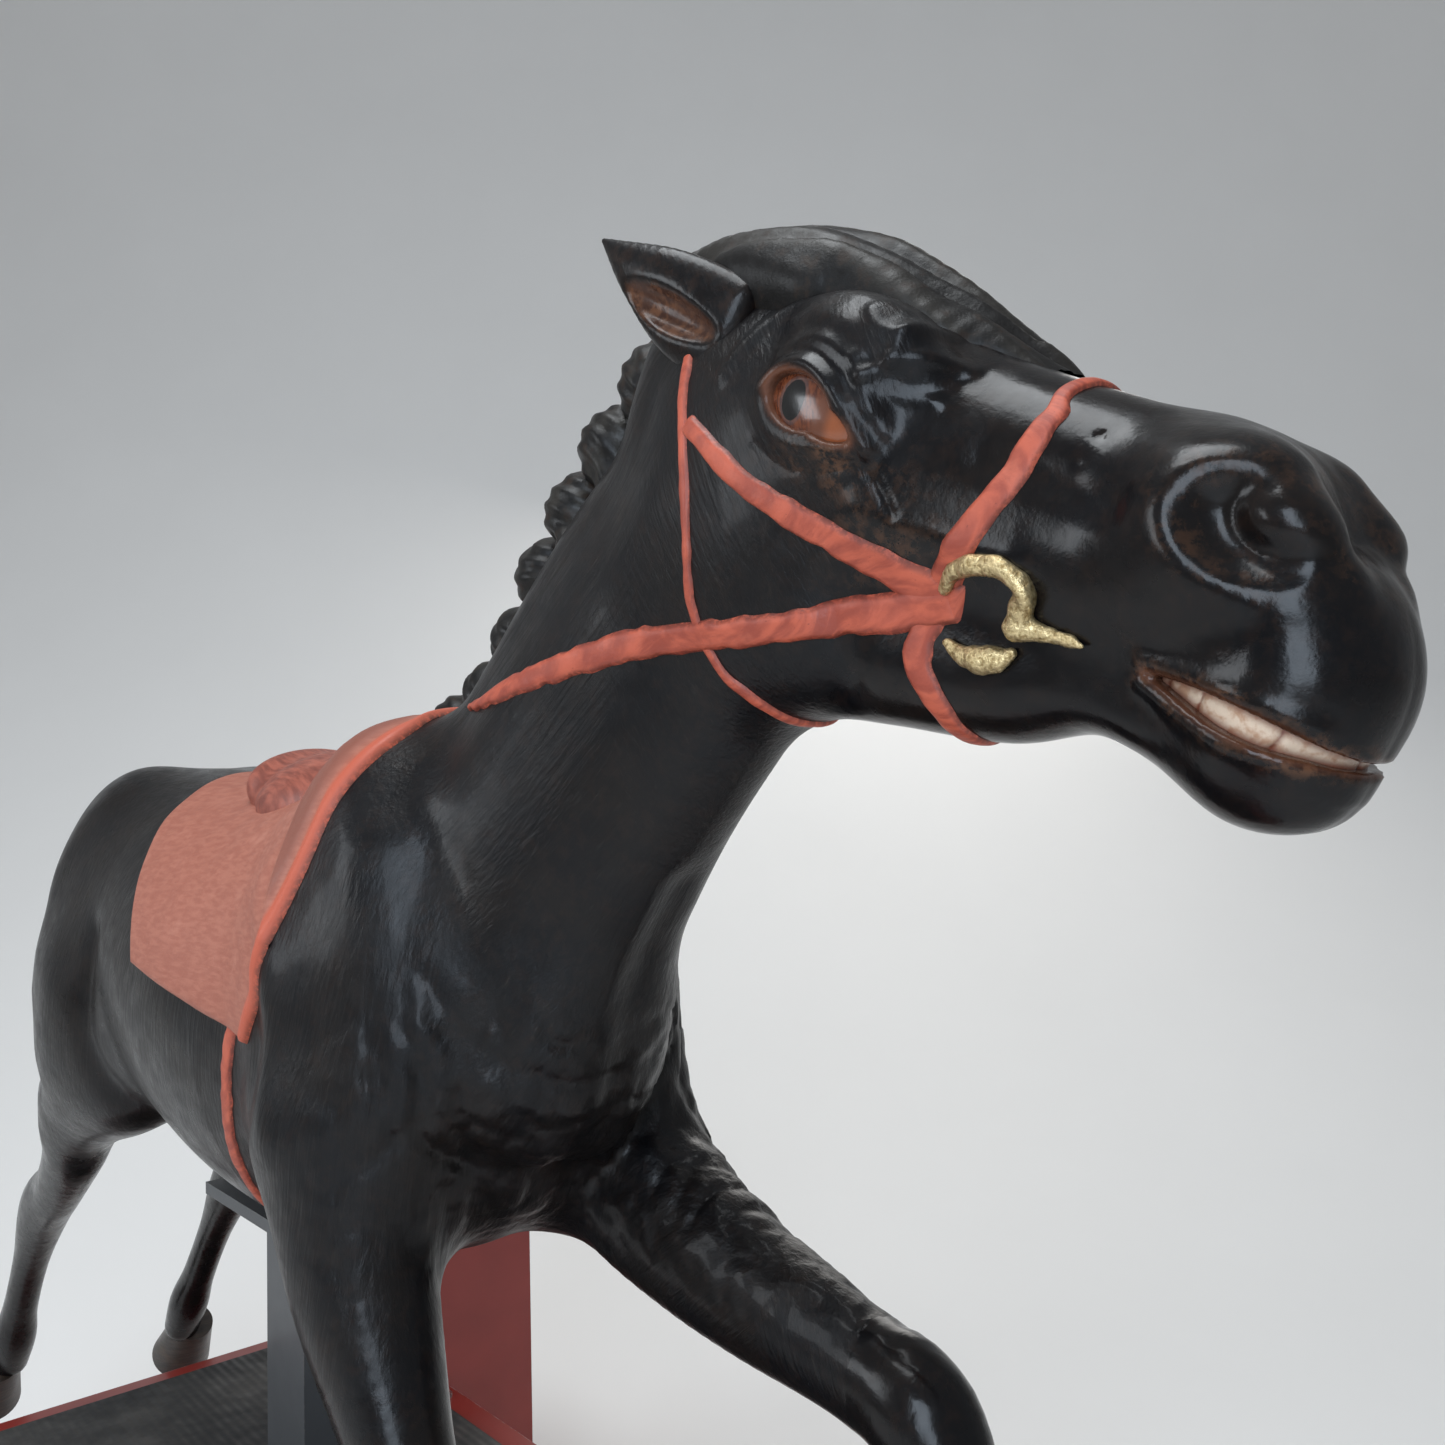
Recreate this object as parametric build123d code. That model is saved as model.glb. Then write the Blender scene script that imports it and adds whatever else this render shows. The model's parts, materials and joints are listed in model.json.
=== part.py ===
from build123d import *
import math
import os

# A coin-operated galloping-horse ride. +X is the way the horse faces, +Y its left side and +Z up.
# The origin is on the floor, at the centre of the cabinet's four anchor holes. Units are millimetres.

# ---- driving dimensions ------------------------------------------------------------------
BASE_LENGTH, BASE_WIDTH = 900.0, 460.0
DECK_TOP = 260.0                      # top face of the deck plate
PAD_THICK, PAD_SIZE = 8.0, 70.0       # rubber pads under the corner plates
ANCHOR_X, ANCHOR_Y, ANCHOR_R = 400.0, 185.0, 5.5
TUBE, TUBE_WALL = 30.0, 2.5           # square tube of the base frame
SHEET = 2.0                           # cabinet sheet steel
DECK_THICK, MAT_THICK = 3.0, 4.0
SLOT_X, SLOT_Y = 62.0, 44.0           # half sizes of the slot that the post comes through
GAP = 0.5                             # clearance round doors and buttons

PIVOT_Z = 200.0                       # rocker shaft height
PIVOT_R = 14.0
RUN_FIT = 0.05                        # radial clearance of a running shaft
CRANK_X, CRANK_Z, CRANK_THROW = -200.0, 88.0, 20.0
MODULE, BULL_TEETH, PINION_TEETH = 1.75, 60, 14
ADDENDUM = 0.85 * MODULE
GEAR_TIP_R = MODULE * BULL_TEETH / 2 + ADDENDUM
JACK_X = CRANK_X - MODULE * (BULL_TEETH + PINION_TEETH) / 2
DRIVEN_PULLEY_R, MOTOR_PULLEY_R = 60.0, 16.0
CRANK_SHAFT_R, JACK_SHAFT_R, MOTOR_SHAFT_R = 9.0, 7.0, 7.0
MOTOR_X, MOTOR_Z, MOTOR_R = -382.0, 104.0, 48.0
PLATE_Z = 44.0                        # underside of the mechanism plate
PLATE_THICK = 5.0
GEAR_Y, PULLEY_Y = 34.0, 96.0         # centres of the gear and pulley planes

RIDE_Z = 200.0                        # height of the horse's own ground line above the floor
SHELL = 6.0                           # thickness of the moulded shell
STRAP_THICK = 3.5
REIN_Y = 34.0                         # the reins lie outside this on each side
BIT_Y, BIT_RING_R, BIT_WIRE_R = 42.0, 14.0, 3.0
BELLY_Z = 342.0 + RIDE_Z              # lowest point of the belly, over the post

# ---- the horse's stations, from its own ground line ---------------------------------------
# Each station is the top point (x, z), the bottom point (x, z) and the half width.
TORSO = [
    ((-343, 572), (-343, 462), 42), ((-325, 598), (-325, 432), 80), ((-270, 624), (-270, 398), 110),
    ((-200, 634), (-200, 384), 121), ((-120, 626), (-120, 372), 119), ((-40, 610), (-40, 354), 121),
    ((40, 604), (40, 342), 122), ((110, 616), (110, 338), 118), ((170, 638), (170, 342), 112),
    ((230, 640), (230, 358), 102), ((280, 610), (280, 380), 90), ((312, 566), (312, 412), 66),
]
NECK = [
    ((165, 636), (345, 424), 84), ((215, 652), (372, 478), 72), ((262, 676), (398, 532), 57),
    ((308, 714), (425, 572), 48), ((350, 748), (447, 604), 44), ((396, 780), (466, 634), 42),
    ((436, 794), (486, 650), 40),
]
HEAD = [
    ((444, 790), (470, 640), 40), ((476, 800), (488, 622), 47), ((516, 790), (516, 612), 51),
    ((560, 761), (550, 609), 45), ((605, 734), (592, 608), 35), ((645, 711), (628, 600), 30),
    ((680, 688), (656, 587), 30), ((699, 664), (682, 592), 25), ((706, 640), (698, 606), 15),
]
# Each station of a leg is its centre (x, z), the half width and the half depth.
FORE_LEFT = [
    ((225, 432), 42, 58), ((300, 398), 35, 44), ((370, 378), 27, 33), ((438, 366), 22, 25),
    ((476, 352), 22, 25), ((498, 300), 15, 17), ((510, 245), 15, 16), ((518, 212), 18, 20),
    ((534, 184), 15, 17),
]
FORE_RIGHT = [
    ((215, 432), 42, 58), ((236, 366), 35, 43), ((268, 306), 25, 31), ((292, 264), 21, 25),
    ((290, 234), 22, 25), ((245, 217), 15, 17), ((196, 206), 14, 16), ((168, 197), 18, 19),
    ((150, 178), 15, 17),
]
HIND = [
    ((-190, 470), 48, 84), ((-215, 388), 44, 60), ((-270, 328), 26, 37), ((-330, 284), 19, 26),
    ((-378, 256), 20, 27), ((-425, 202), 14, 17), ((-468, 150), 14, 17), ((-493, 118), 18, 20),
    ((-512, 90), 16, 18),
]
FORE_Y, HIND_Y = 76.0, 82.0
HIND_LEFT_FORWARD = 34.0              # the left hind leg reaches this much less far back
HOOF_TOP_R, HOOF_SOLE_R, HOOF_INSET = 19.0, 27.0, 2.0
EYE_X, EYE_Y, EYE_Z, EYE_R = 541.0, 43.0, 728.0, 14.0
HOOVES = {                            # pastern end (x, z) and sole centre (x, z) of each hoof
    "fore_left": ((534, 184), (556, 142), FORE_Y), "fore_right": ((150, 178), (132, 140), -FORE_Y),
    "hind_left": ((-512 + HIND_LEFT_FORWARD, 90), (-546 + HIND_LEFT_FORWARD, 50), HIND_Y),
    "hind_right": ((-512, 90), (-546, 50), -HIND_Y),
}


# ---- small helpers -------------------------------------------------------------------------
def box(x0, x1, y0, y1, z0, z1):
    """An axis-aligned block between two corners."""
    return Pos((x0 + x1) / 2, (y0 + y1) / 2, (z0 + z1) / 2) * Box(abs(x1 - x0), abs(y1 - y0), abs(z1 - z0))


def rod(axis, a, b, u, v, r):
    """A cylinder from a to b along axis. u and v are its other two coordinates, in X, Y, Z order."""
    turn = {"x": (0, 90, 0), "y": (90, 0, 0), "z": (0, 0, 0)}[axis]
    mid = (a + b) / 2
    place = {"x": (mid, u, v), "y": (u, mid, v), "z": (u, v, mid)}[axis]
    return Pos(*place) * Rot(*turn) * Cylinder(r, abs(b - a))


def tube(x0, x1, y0, y1, z0, z1):
    """A hollow square tube, open at the two ends of its longest side."""
    wall = [TUBE_WALL] * 3
    spans = (x1 - x0, y1 - y0, z1 - z0)
    wall[spans.index(max(spans))] = -1.0
    a, b, c = wall
    return box(x0, x1, y0, y1, z0, z1) - box(x0 + a, x1 - a, y0 + b, y1 - b, z0 + c, z1 - c)


def group(parts):
    """Separate solids that are kept in one node."""
    return Compound(children=[s for p in parts for s in p.solids()])


def save(name, shape):
    """Writes one node."""
    export_step(shape, f"parts/{name}.step")


# ---- the horse's lofts ---------------------------------------------------------------------
def band_loft(stations, grow=0.0):
    """A loft through upright ellipses, each between a top and a bottom point."""
    faces = []
    for top, bottom, half_width in stations:
        dx, dz = top[0] - bottom[0], top[1] - bottom[1]
        size = math.hypot(dx, dz)
        ux, uz = dx / size, dz / size
        middle = ((top[0] + bottom[0]) / 2, 0, (top[1] + bottom[1]) / 2 + RIDE_Z)
        plane = Plane(origin=middle, x_dir=(ux, 0, uz), z_dir=(uz, 0, -ux))
        faces.append(plane * Ellipse(size / 2 + grow, half_width + grow))
    return loft(faces)


def limb_loft(stations, y, shift=0.0):
    """A loft through ellipses square to a leg's centre line."""
    faces = []
    last = len(stations) - 1
    for i, ((x, z), half_width, half_depth) in enumerate(stations):
        ahead, behind = stations[min(i + 1, last)][0], stations[max(i - 1, 0)][0]
        dx, dz = ahead[0] - behind[0], ahead[1] - behind[1]
        size = math.hypot(dx, dz)
        plane = Plane(origin=(x + shift, y, z + RIDE_Z), x_dir=(-dz / size, 0, dx / size),
                      z_dir=(dx / size, 0, dz / size))
        faces.append(plane * Ellipse(half_depth, half_width))
    return loft(faces, ruled=True)


def strip(points, half_width=200.0):
    """A prism across the whole horse, from an outline in the side view."""
    outline = [(x, z + RIDE_Z) for x, z in points]
    face = make_face(Plane.XZ * Polyline(*outline, close=True))
    return extrude(face, amount=half_width, both=True)


SEAM_HALF = 0.1                 # half the cement line between the left and right halves
LEFT_SIDE = box(-700, 800, SEAM_HALF, 300, 0, 1300)
RIGHT_SIDE = box(-700, 800, -300, -SEAM_HALF, 0, 1300)

torso_outer = band_loft(TORSO)
torso_inner = band_loft(TORSO[1:-1], -SHELL)
torso_grown = band_loft(TORSO, STRAP_THICK)
neck_outer = band_loft(NECK)
neck_inner = band_loft(NECK[1:-1], -SHELL)
head_outer = band_loft(HEAD)
head_inner = band_loft(HEAD[1:-1], -SHELL)


def horse_shells():
    """The moulded shell: torso and neck with head, each in a left and a right half."""
    torso = torso_outer - torso_inner
    front = (neck_outer + head_outer) - neck_inner - head_inner - torso_outer
    front = front - mouth_gap() - eyes()[0] - eyes()[1]
    save("torso_shell_left", torso & LEFT_SIDE)
    save("torso_shell_right", torso & RIGHT_SIDE)
    save("neck_head_shell_left", front & LEFT_SIDE)
    save("neck_head_shell_right", front & RIGHT_SIDE)


def mouth_gap():
    """The open wedge between the lips, in which the teeth sit."""
    return strip([(652, 630), (720, 616), (720, 603), (690, 608)])


def teeth():
    """The rows of teeth between the lips."""
    between_lips = head_outer & strip([(662, 626), (698, 617), (696, 609), (684, 611)])
    return between_lips & box(600, 720, -13, 13, 700, 900)


def limbs():
    """The four whole legs, before they are cut to the torso, in the order of HOOVES."""
    return [
        limb_loft(FORE_LEFT, FORE_Y),
        limb_loft(FORE_RIGHT, -FORE_Y),
        limb_loft(HIND, HIND_Y, HIND_LEFT_FORWARD),
        limb_loft(HIND, -HIND_Y),
    ]


def legs():
    """Four legs, each cast as one piece and butted against the torso."""
    names = ("foreleg_left", "foreleg_right", "hind_leg_left", "hind_leg_right")
    for name, limb in zip(names, limbs()):
        save(name, limb - torso_outer)


def hooves():
    """Four cone-shaped hooves, each on the end of a pastern."""
    made = []
    for (top, sole, y), limb in zip(HOOVES.values(), limbs()):
        dx, dz = sole[0] - top[0], sole[1] - top[1]
        size = math.hypot(dx, dz)
        place = Plane(origin=(top[0], y, top[1] + RIDE_Z), x_dir=(0, 1, 0), z_dir=(dx / size, 0, dz / size))
        cone = Pos(0, 0, HOOF_INSET + size / 2) * Cone(HOOF_TOP_R, HOOF_SOLE_R, size)
        made.append(place * cone - limb)
    return made


def eyes():
    """Two glass eyes, bedded in the sides of the head."""
    return [Pos(EYE_X, side * EYE_Y, EYE_Z + RIDE_Z) * Sphere(EYE_R) for side in (1, -1)]


def ears():
    """Two ears, laid back."""
    rings = [((468, 30, 785), 13, 17), ((446, 38, 806), 13, 16), ((417, 46, 826), 4, 5)]
    made = []
    for side in (1, -1):
        faces = []
        for (x, y, z), half_width, half_depth in rings:
            plane = Plane(origin=(x, side * y, z + RIDE_Z), x_dir=(0, 1, 0), z_dir=(-0.85, side * 0.25, 0.5))
            faces.append(plane * Ellipse(half_width, half_depth))
        made.append(loft(faces) - head_outer - neck_outer)
    return made


def mane():
    """The roached mane, a wavy crest along the top of the neck."""
    crest = [(185, 604), (235, 622), (282, 646), (328, 684), (370, 718), (410, 752), (436, 760)]
    outer = [(425, 812), (392, 806), (368, 778), (352, 786), (330, 760), (306, 752), (292, 722),
             (266, 706), (250, 684), (216, 666), (176, 648)]
    hair = strip(crest + outer, 11) - neck_outer - torso_grown - head_outer - forelock()
    return hair.solids().sort_by(SortBy.VOLUME)[-1]


def forelock():
    """The lock of hair over the poll and down the forehead."""
    outline = [(440, 780), (452, 822), (485, 827), (516, 820), (560, 790), (600, 758), (612, 741), (596, 720),
               (556, 740), (512, 765), (470, 775)]
    hair = strip(outline, 26) - head_outer - neck_outer
    for ear in ears():
        hair -= ear
    return hair.solids().sort_by(SortBy.VOLUME)[-1]


def tail():
    """The tail, hung from the dock."""
    rows = [((-346, 540), 14, 16), ((-378, 520), 20, 24), ((-400, 470), 26, 30), ((-408, 410), 28, 30),
            ((-404, 350), 22, 24), ((-398, 305), 8, 9)]
    return limb_loft(rows, 0.0) - torso_outer


# ---- the tack ------------------------------------------------------------------------------
front_outer = neck_outer + head_outer
front_grown = band_loft(NECK, STRAP_THICK) + band_loft(HEAD, STRAP_THICK)
strap_skin = front_grown - front_outer - torso_outer


def strap_piece(points, half_width=200.0):
    """A strap moulded on the head or neck, from its outline in the side view."""
    return strap_skin & strip(points, half_width)


def bridle():
    """The noseband, cheekpieces, throatlatch and reins."""
    noseband = strap_piece([(612, 742), (630, 736), (584, 604), (568, 604)])
    cheek = strap_piece([(478, 752), (486, 746), (575, 672), (574, 660), (480, 728), (474, 742)])
    throat = strap_piece([(462, 790), (468, 790), (482, 690), (484, 612), (478, 612), (476, 690)])
    rein = strap_piece([(574, 668), (574, 652), (480, 672), (360, 655), (230, 640),
                        (236, 662), (360, 670), (480, 688)])
    hair = [forelock(), *ears()]
    between_reins = box(-100, 900, -REIN_Y, REIN_Y, 0, 1300)
    save("noseband", noseband)
    save("cheekpieces", cheek - noseband - hair)
    save("throatlatch", throat - cheek - hair)
    save("reins", rein - noseband - throat - cheek - between_reins)


def bit_rings():
    """A ring at each corner of the bit, with its cheek bar."""
    made = []
    for side in (1, -1):
        y = side * BIT_Y
        ring = Pos(604, y, 655 + RIDE_Z) * Rot(90, 0, 0) * Torus(BIT_RING_R, BIT_WIRE_R)
        boss = rod("y", y - BIT_WIRE_R, y + BIT_WIRE_R, 622, 648 + RIDE_Z, 5)
        made.append(ring + boss - front_grown)
    return made


def saddlery():
    """The blanket, the saddle on it and the girth."""
    blanket_zone = strip([(-36, 645), (176, 660), (200, 480), (14, 504)])
    blanket = (torso_grown & blanket_zone) - torso_outer - neck_outer
    girth_zone = strip([(166, 482), (178, 481), (122, 320), (98, 320)])
    girth = (torso_grown & girth_zone) - torso_outer - blanket
    seat_zone = strip([(8, 660), (120, 680), (150, 640), (140, 560), (60, 570), (20, 610)], 80)
    seat = (band_loft(TORSO, 14) & seat_zone) - torso_outer - neck_outer - blanket
    save("saddle_blanket", blanket)
    save("girth_strap", girth - limbs()[:2])
    save("saddle", seat.solids().sort_by(SortBy.VOLUME)[-1])


# ---- the cabinet -----------------------------------------------------------------------------
HALF_L, HALF_W = BASE_LENGTH / 2, BASE_WIDTH / 2
FRAME_X, FRAME_Y = HALF_L - SHEET, HALF_W - SHEET     # outside of the frame, inside of the panels
CORNER_THICK = 6.0
RAIL_Z = PAD_THICK + CORNER_THICK                     # underside of the bottom rails
FRAME_TOP = DECK_TOP - DECK_THICK
PLATE_TOP = PLATE_Z + PLATE_THICK
STAND_Y = 164.0                                       # planes of the two rocker shaft bearings
BLOCK_FOOT_Z = PIVOT_Z - 26.0                         # underside of the pillow blocks
SCREW_R, SCREW_HOLE_R, SCREW_HEAD_R = 3.0, 3.3, 6.0
INLET_Y, INLET_Z = (100.0, 128.0), (80.0, 104.0)      # opening for the power inlet
DOOR_X, DOOR_Z = (90.0, 330.0), (60.0, 220.0)         # service door opening in the right panel
HINGE_R, HINGE_PIN_R, LEAF = 3.0, 1.25, 1.6           # knuckles, pin and leaf thickness
HINGE_Y = -HALF_W - 3.3                               # hinge axis, level with the opening's edge
CORNERS = [(sx, sy) for sx in (1, -1) for sy in (1, -1)]


def floor_pads():
    """Rubber pads with the anchor holes."""
    made = []
    for sx, sy in CORNERS:
        x, y = sx * ANCHOR_X, sy * ANCHOR_Y
        pad = Pos(x, y, PAD_THICK / 2) * Box(PAD_SIZE, PAD_SIZE, PAD_THICK)
        made.append(pad - rod("z", -5, 20, x, y, ANCHOR_R))
    return made


def edge_tube(along, side, z):
    """One rail of the frame, along X or along Y, on the side with the given sign."""
    if along == "x":
        y = side * (FRAME_Y - TUBE / 2)
        return tube(-FRAME_X, FRAME_X, y - TUBE / 2, y + TUBE / 2, z, z + TUBE)
    x = side * (FRAME_X - TUBE / 2)
    reach = FRAME_Y - TUBE
    return tube(x - TUBE / 2, x + TUBE / 2, -reach, reach, z, z + TUBE)


def base_frame():
    """The welded frame: corner plates, two rectangles of square tube and four posts."""
    top = FRAME_TOP - TUBE
    frame = Part()
    for z in (RAIL_Z, top):
        for side in (1, -1):
            frame += edge_tube("x", side, z)
            frame += edge_tube("y", side, z)
    for sx, sy in CORNERS:
        x, y = sx * (FRAME_X - TUBE / 2), sy * (FRAME_Y - TUBE / 2)
        frame += tube(x - TUBE / 2, x + TUBE / 2, y - TUBE / 2, y + TUBE / 2, RAIL_Z + TUBE, top)
        plate = Pos(sx * ANCHOR_X, sy * ANCHOR_Y, PAD_THICK + CORNER_THICK / 2) * Box(86, 78, CORNER_THICK)
        frame += plate - rod("z", 0, 30, sx * ANCHOR_X, sy * ANCHOR_Y, ANCHOR_R)
        frame -= rod("z", 0, RAIL_Z + TUBE_WALL + 1, sx * ANCHOR_X, sy * ANCHOR_Y, ANCHOR_R)
    return frame


BELT_ROOM = 14.0                                      # extra slot behind the pulley, where the belt leaves it


def mechanism_plate():
    """The steel plate across the bottom rails, with slots for the wheels and the rocker stands."""
    plate = box(-FRAME_X + TUBE, 120, -FRAME_Y + 4, FRAME_Y - 4, PLATE_Z, PLATE_TOP)
    for x in (-300, -60, 60):
        for side in (1, -1):
            plate -= rod("z", 40, 60, x, side * (FRAME_Y - 15), SCREW_HOLE_R)
    wheels = ((CRANK_X, GEAR_Y, GEAR_TIP_R, 0), (JACK_X, PULLEY_Y, DRIVEN_PULLEY_R, BELT_ROOM))
    for x, y, radius, behind in wheels:
        reach = math.sqrt(radius ** 2 - (CRANK_Z - PLATE_TOP) ** 2) + 5
        plate -= box(x - reach - behind, x + reach, y - 13, y + 13, 30, 60)
    for side in (1, -1):
        y = side * STAND_Y
        plate += box(-45, 45, y - 5, y + 5, PLATE_TOP, BLOCK_FOOT_Z - 8)
        plate += box(-45, 45, y - 20, y + 20, BLOCK_FOOT_Z - 8, BLOCK_FOOT_Z)
    return plate


def pillow_blocks():
    """Two bearing blocks for the rocker shaft, on the stands."""
    made = []
    for side in (1, -1):
        y = side * STAND_Y
        block = box(-42, 42, y - 16, y + 16, BLOCK_FOOT_Z, BLOCK_FOOT_Z + 10)
        block += rod("y", y - 16, y + 16, 0, PIVOT_Z, 26)
        made.append(block - rod("y", y - 30, y + 30, 0, PIVOT_Z, PIVOT_R + RUN_FIT))
    return made


def panels():
    """The four cabinet sides, with the service door opening, louvres and the power inlet opening."""
    through_right = (-HALF_W - 9, -FRAME_Y + 9)
    through_rear = (-HALF_L - 9, -FRAME_X + 9)
    right = box(-HALF_L, HALF_L, -HALF_W, -FRAME_Y, RAIL_Z, FRAME_TOP)
    right -= box(*DOOR_X, *through_right, *DOOR_Z)
    left = box(-HALF_L, HALF_L, FRAME_Y, HALF_W, RAIL_Z, FRAME_TOP)
    front = box(FRAME_X, HALF_L, -FRAME_Y, FRAME_Y, RAIL_Z, FRAME_TOP)
    rear = box(-HALF_L, -FRAME_X, -FRAME_Y, FRAME_Y, RAIL_Z, FRAME_TOP)
    for i in range(6):
        z = 110 + 16 * i
        rear -= box(*through_rear, -120, -20, z, z + 6)
    rear -= box(*through_rear, *INLET_Y, *INLET_Z)
    save("right_panel", right + panel_hinge())
    save("left_panel", left)
    save("front_panel", front)
    save("rear_panel", rear)


def panel_hinge():
    """The door hinge's fixed leaf, with the middle knuckle and the pin."""
    low, high = DOOR_Z[0] + 61, DOOR_Z[1] - 61
    leaf = box(DOOR_X[0] - 14, DOOR_X[0], -HALF_W - LEAF, -HALF_W, low, high)
    knuckle = rod("z", low, high, DOOR_X[0], HINGE_Y, HINGE_R)
    return leaf + knuckle + rod("z", DOOR_Z[0] + 20, DOOR_Z[1] - 20, DOOR_X[0], HINGE_Y, HINGE_PIN_R)


def service_door():
    """The sheet door in the right panel, with its hinge leaves and turn latch."""
    x0, x1 = DOOR_X[0] + GAP, DOOR_X[1] - GAP
    z0, z1 = DOOR_Z[0] + GAP, DOOR_Z[1] - GAP
    door = box(x0, x1, -HALF_W, -FRAME_Y, z0, z1)
    for low in (DOOR_Z[0] + 20, DOOR_Z[1] - 60):
        door += box(x0, x0 + 14, -HALF_W - LEAF, -HALF_W, low, low + 40)
        door += rod("z", low, low + 40, DOOR_X[0], HINGE_Y, HINGE_R)
    door -= rod("z", 0, DECK_TOP, DOOR_X[0], HINGE_Y, HINGE_PIN_R + RUN_FIT)
    latch_x, latch_z = x1 - 24, (z0 + z1) / 2
    door += rod("y", -HALF_W - 6, -HALF_W, latch_x, latch_z, 9)
    return door + box(latch_x - 2, latch_x + 2, -HALF_W - 10, -HALF_W - 6, latch_z - 8, latch_z + 8)


def deck():
    """The deck plate, its ribbed rubber mat and the screws round its edge."""
    slot = box(-SLOT_X, SLOT_X, -SLOT_Y, SLOT_Y, 0, 400)
    plate = box(-HALF_L, HALF_L, -HALF_W, HALF_W, FRAME_TOP, DECK_TOP) - slot
    mat = box(-HALF_L + 25, HALF_L - 25, -HALF_W + 25, HALF_W - 25, DECK_TOP, DECK_TOP + MAT_THICK)
    mat -= box(-SLOT_X - 48, SLOT_X + 48, -SLOT_Y - 20, SLOT_Y + 20, 0, 400)
    screws = []
    for x in (-435, -220, 0, 220, 435):
        for side in (1, -1):
            y = side * (HALF_W - 13)
            plate -= rod("z", 240, 270, x, y, SCREW_HOLE_R)
            head = rod("z", DECK_TOP, DECK_TOP + 3, x, y, SCREW_HEAD_R)
            screws.append(head + rod("z", FRAME_TOP, DECK_TOP, x, y, SCREW_R))
    save("deck_plate", plate)
    save("deck_mat", mat)
    save("deck_screws", group(screws))


# ---- the coin box ------------------------------------------------------------------------------
COIN_X, COIN_Y, COIN_Z = (-400.0, -270.0), (HALF_W, HALF_W + 110.0), (60.0, 430.0)
COIN_WALL = 2.5
COIN_MID = sum(COIN_X) / 2
COIN_FRONT = COIN_Y[1]                                # the plane of the shell's front
DRAWER_X, DRAWER_Z = (COIN_X[0] + 15, COIN_X[1] - 15), (COIN_Z[0] + 10, COIN_Z[0] + 90)
FACE_X, FACE_Z = (COIN_X[0] + 15, COIN_X[1] - 15), (COIN_Z[0] + 200, COIN_Z[1] - 20)
START_Z, START_R = COIN_Z[0] + 232, 14.0
RETURN_X, RETURN_Z, RETURN_R = COIN_MID - 26, COIN_Z[1] - 59, 8.0
THROUGH_FRONT = (COIN_FRONT - 9, COIN_FRONT + 9)


def coin_box_shell():
    """The folded steel shell with the drawer's mouth, its two runners and the face opening."""
    shell = box(*COIN_X, *COIN_Y, *COIN_Z)
    inside = [(low + COIN_WALL, high - COIN_WALL) for low, high in (COIN_X, COIN_Y, COIN_Z)]
    shell -= box(*inside[0], *inside[1], *inside[2])
    shell -= box(*DRAWER_X, *THROUGH_FRONT, *DRAWER_Z)
    shell -= box(FACE_X[0] + 8, FACE_X[1] - 8, *THROUGH_FRONT, FACE_Z[0] + 8, FACE_Z[1] - 8)
    for x in (DRAWER_X[0] + 6, DRAWER_X[1] - 14):
        shell += box(x, x + 8, inside[1][0], inside[1][1], inside[2][0], DRAWER_Z[0] + 0.2)
    return shell


def coin_plate():
    """The face plate with the coin slot, the return cup and the two button holes."""
    plate = box(*FACE_X, COIN_FRONT, COIN_FRONT + 4, *FACE_Z)
    plate -= box(COIN_MID - 1.7, COIN_MID + 1.7, *THROUGH_FRONT, COIN_Z[1] - 74, COIN_Z[1] - 44)
    plate -= rod("y", *THROUGH_FRONT, RETURN_X, RETURN_Z, RETURN_R + GAP)
    plate -= rod("y", *THROUGH_FRONT, COIN_MID, START_Z, START_R + GAP)
    return plate - box(COIN_MID + 14, COIN_MID + 36, *THROUGH_FRONT, COIN_Z[1] - 84, COIN_Z[1] - 54)


def coin_mechanism():
    """The coin acceptor behind the face plate, with its coin channel."""
    low, high = COIN_Z[1] - 118, COIN_Z[1] - 34
    body = box(COIN_MID - 14, COIN_MID + 12, COIN_Y[0] + 30, COIN_FRONT, low, high)
    return body - box(COIN_MID - 1.7, COIN_MID + 1.7, COIN_Y[0] + 40, COIN_FRONT, low + 6, high - 10)


def cash_drawer():
    """The open-topped drawer, with its lock barrel."""
    x0, x1 = DRAWER_X[0] + GAP, DRAWER_X[1] - GAP
    z0, z1 = DRAWER_Z[0] + GAP, DRAWER_Z[1] - GAP
    drawer = box(x0, x1, COIN_Y[0] + 15, COIN_FRONT, z0, z1)
    drawer -= box(x0 + 2.5, x1 - 2.5, COIN_Y[0] + 18, COIN_FRONT - 3, z0 + 2.5, z1 + 9)
    return drawer + rod("y", COIN_FRONT, COIN_FRONT + 7, COIN_MID, (z0 + z1) / 2 + 8, 11)


def coin_box():
    """The coin box on the left side of the cabinet."""
    save("coin_box_shell", coin_box_shell())
    save("coin_plate", coin_plate())
    save("coin_mechanism", coin_mechanism())
    save("cash_drawer", cash_drawer())
    save("coin_return_button", rod("y", COIN_FRONT - 14, COIN_FRONT + 11, RETURN_X, RETURN_Z, RETURN_R))
    save("start_button", rod("y", COIN_FRONT - 14, COIN_FRONT + 12, COIN_MID, START_Z, START_R))


# ---- the drive -----------------------------------------------------------------------------------
BELT_HALF = 3.6                                       # half width of the V-belt at its back
BELT_BACK, BELT_INNER = 0.5, -4.4                     # its back and inner face, from the pulley rim
GROOVE_DEPTH, PULLEY_HALF = 6.0, 9.0
BEARING_HALF = 6.0                                    # half width of a shaft bearing


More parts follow.
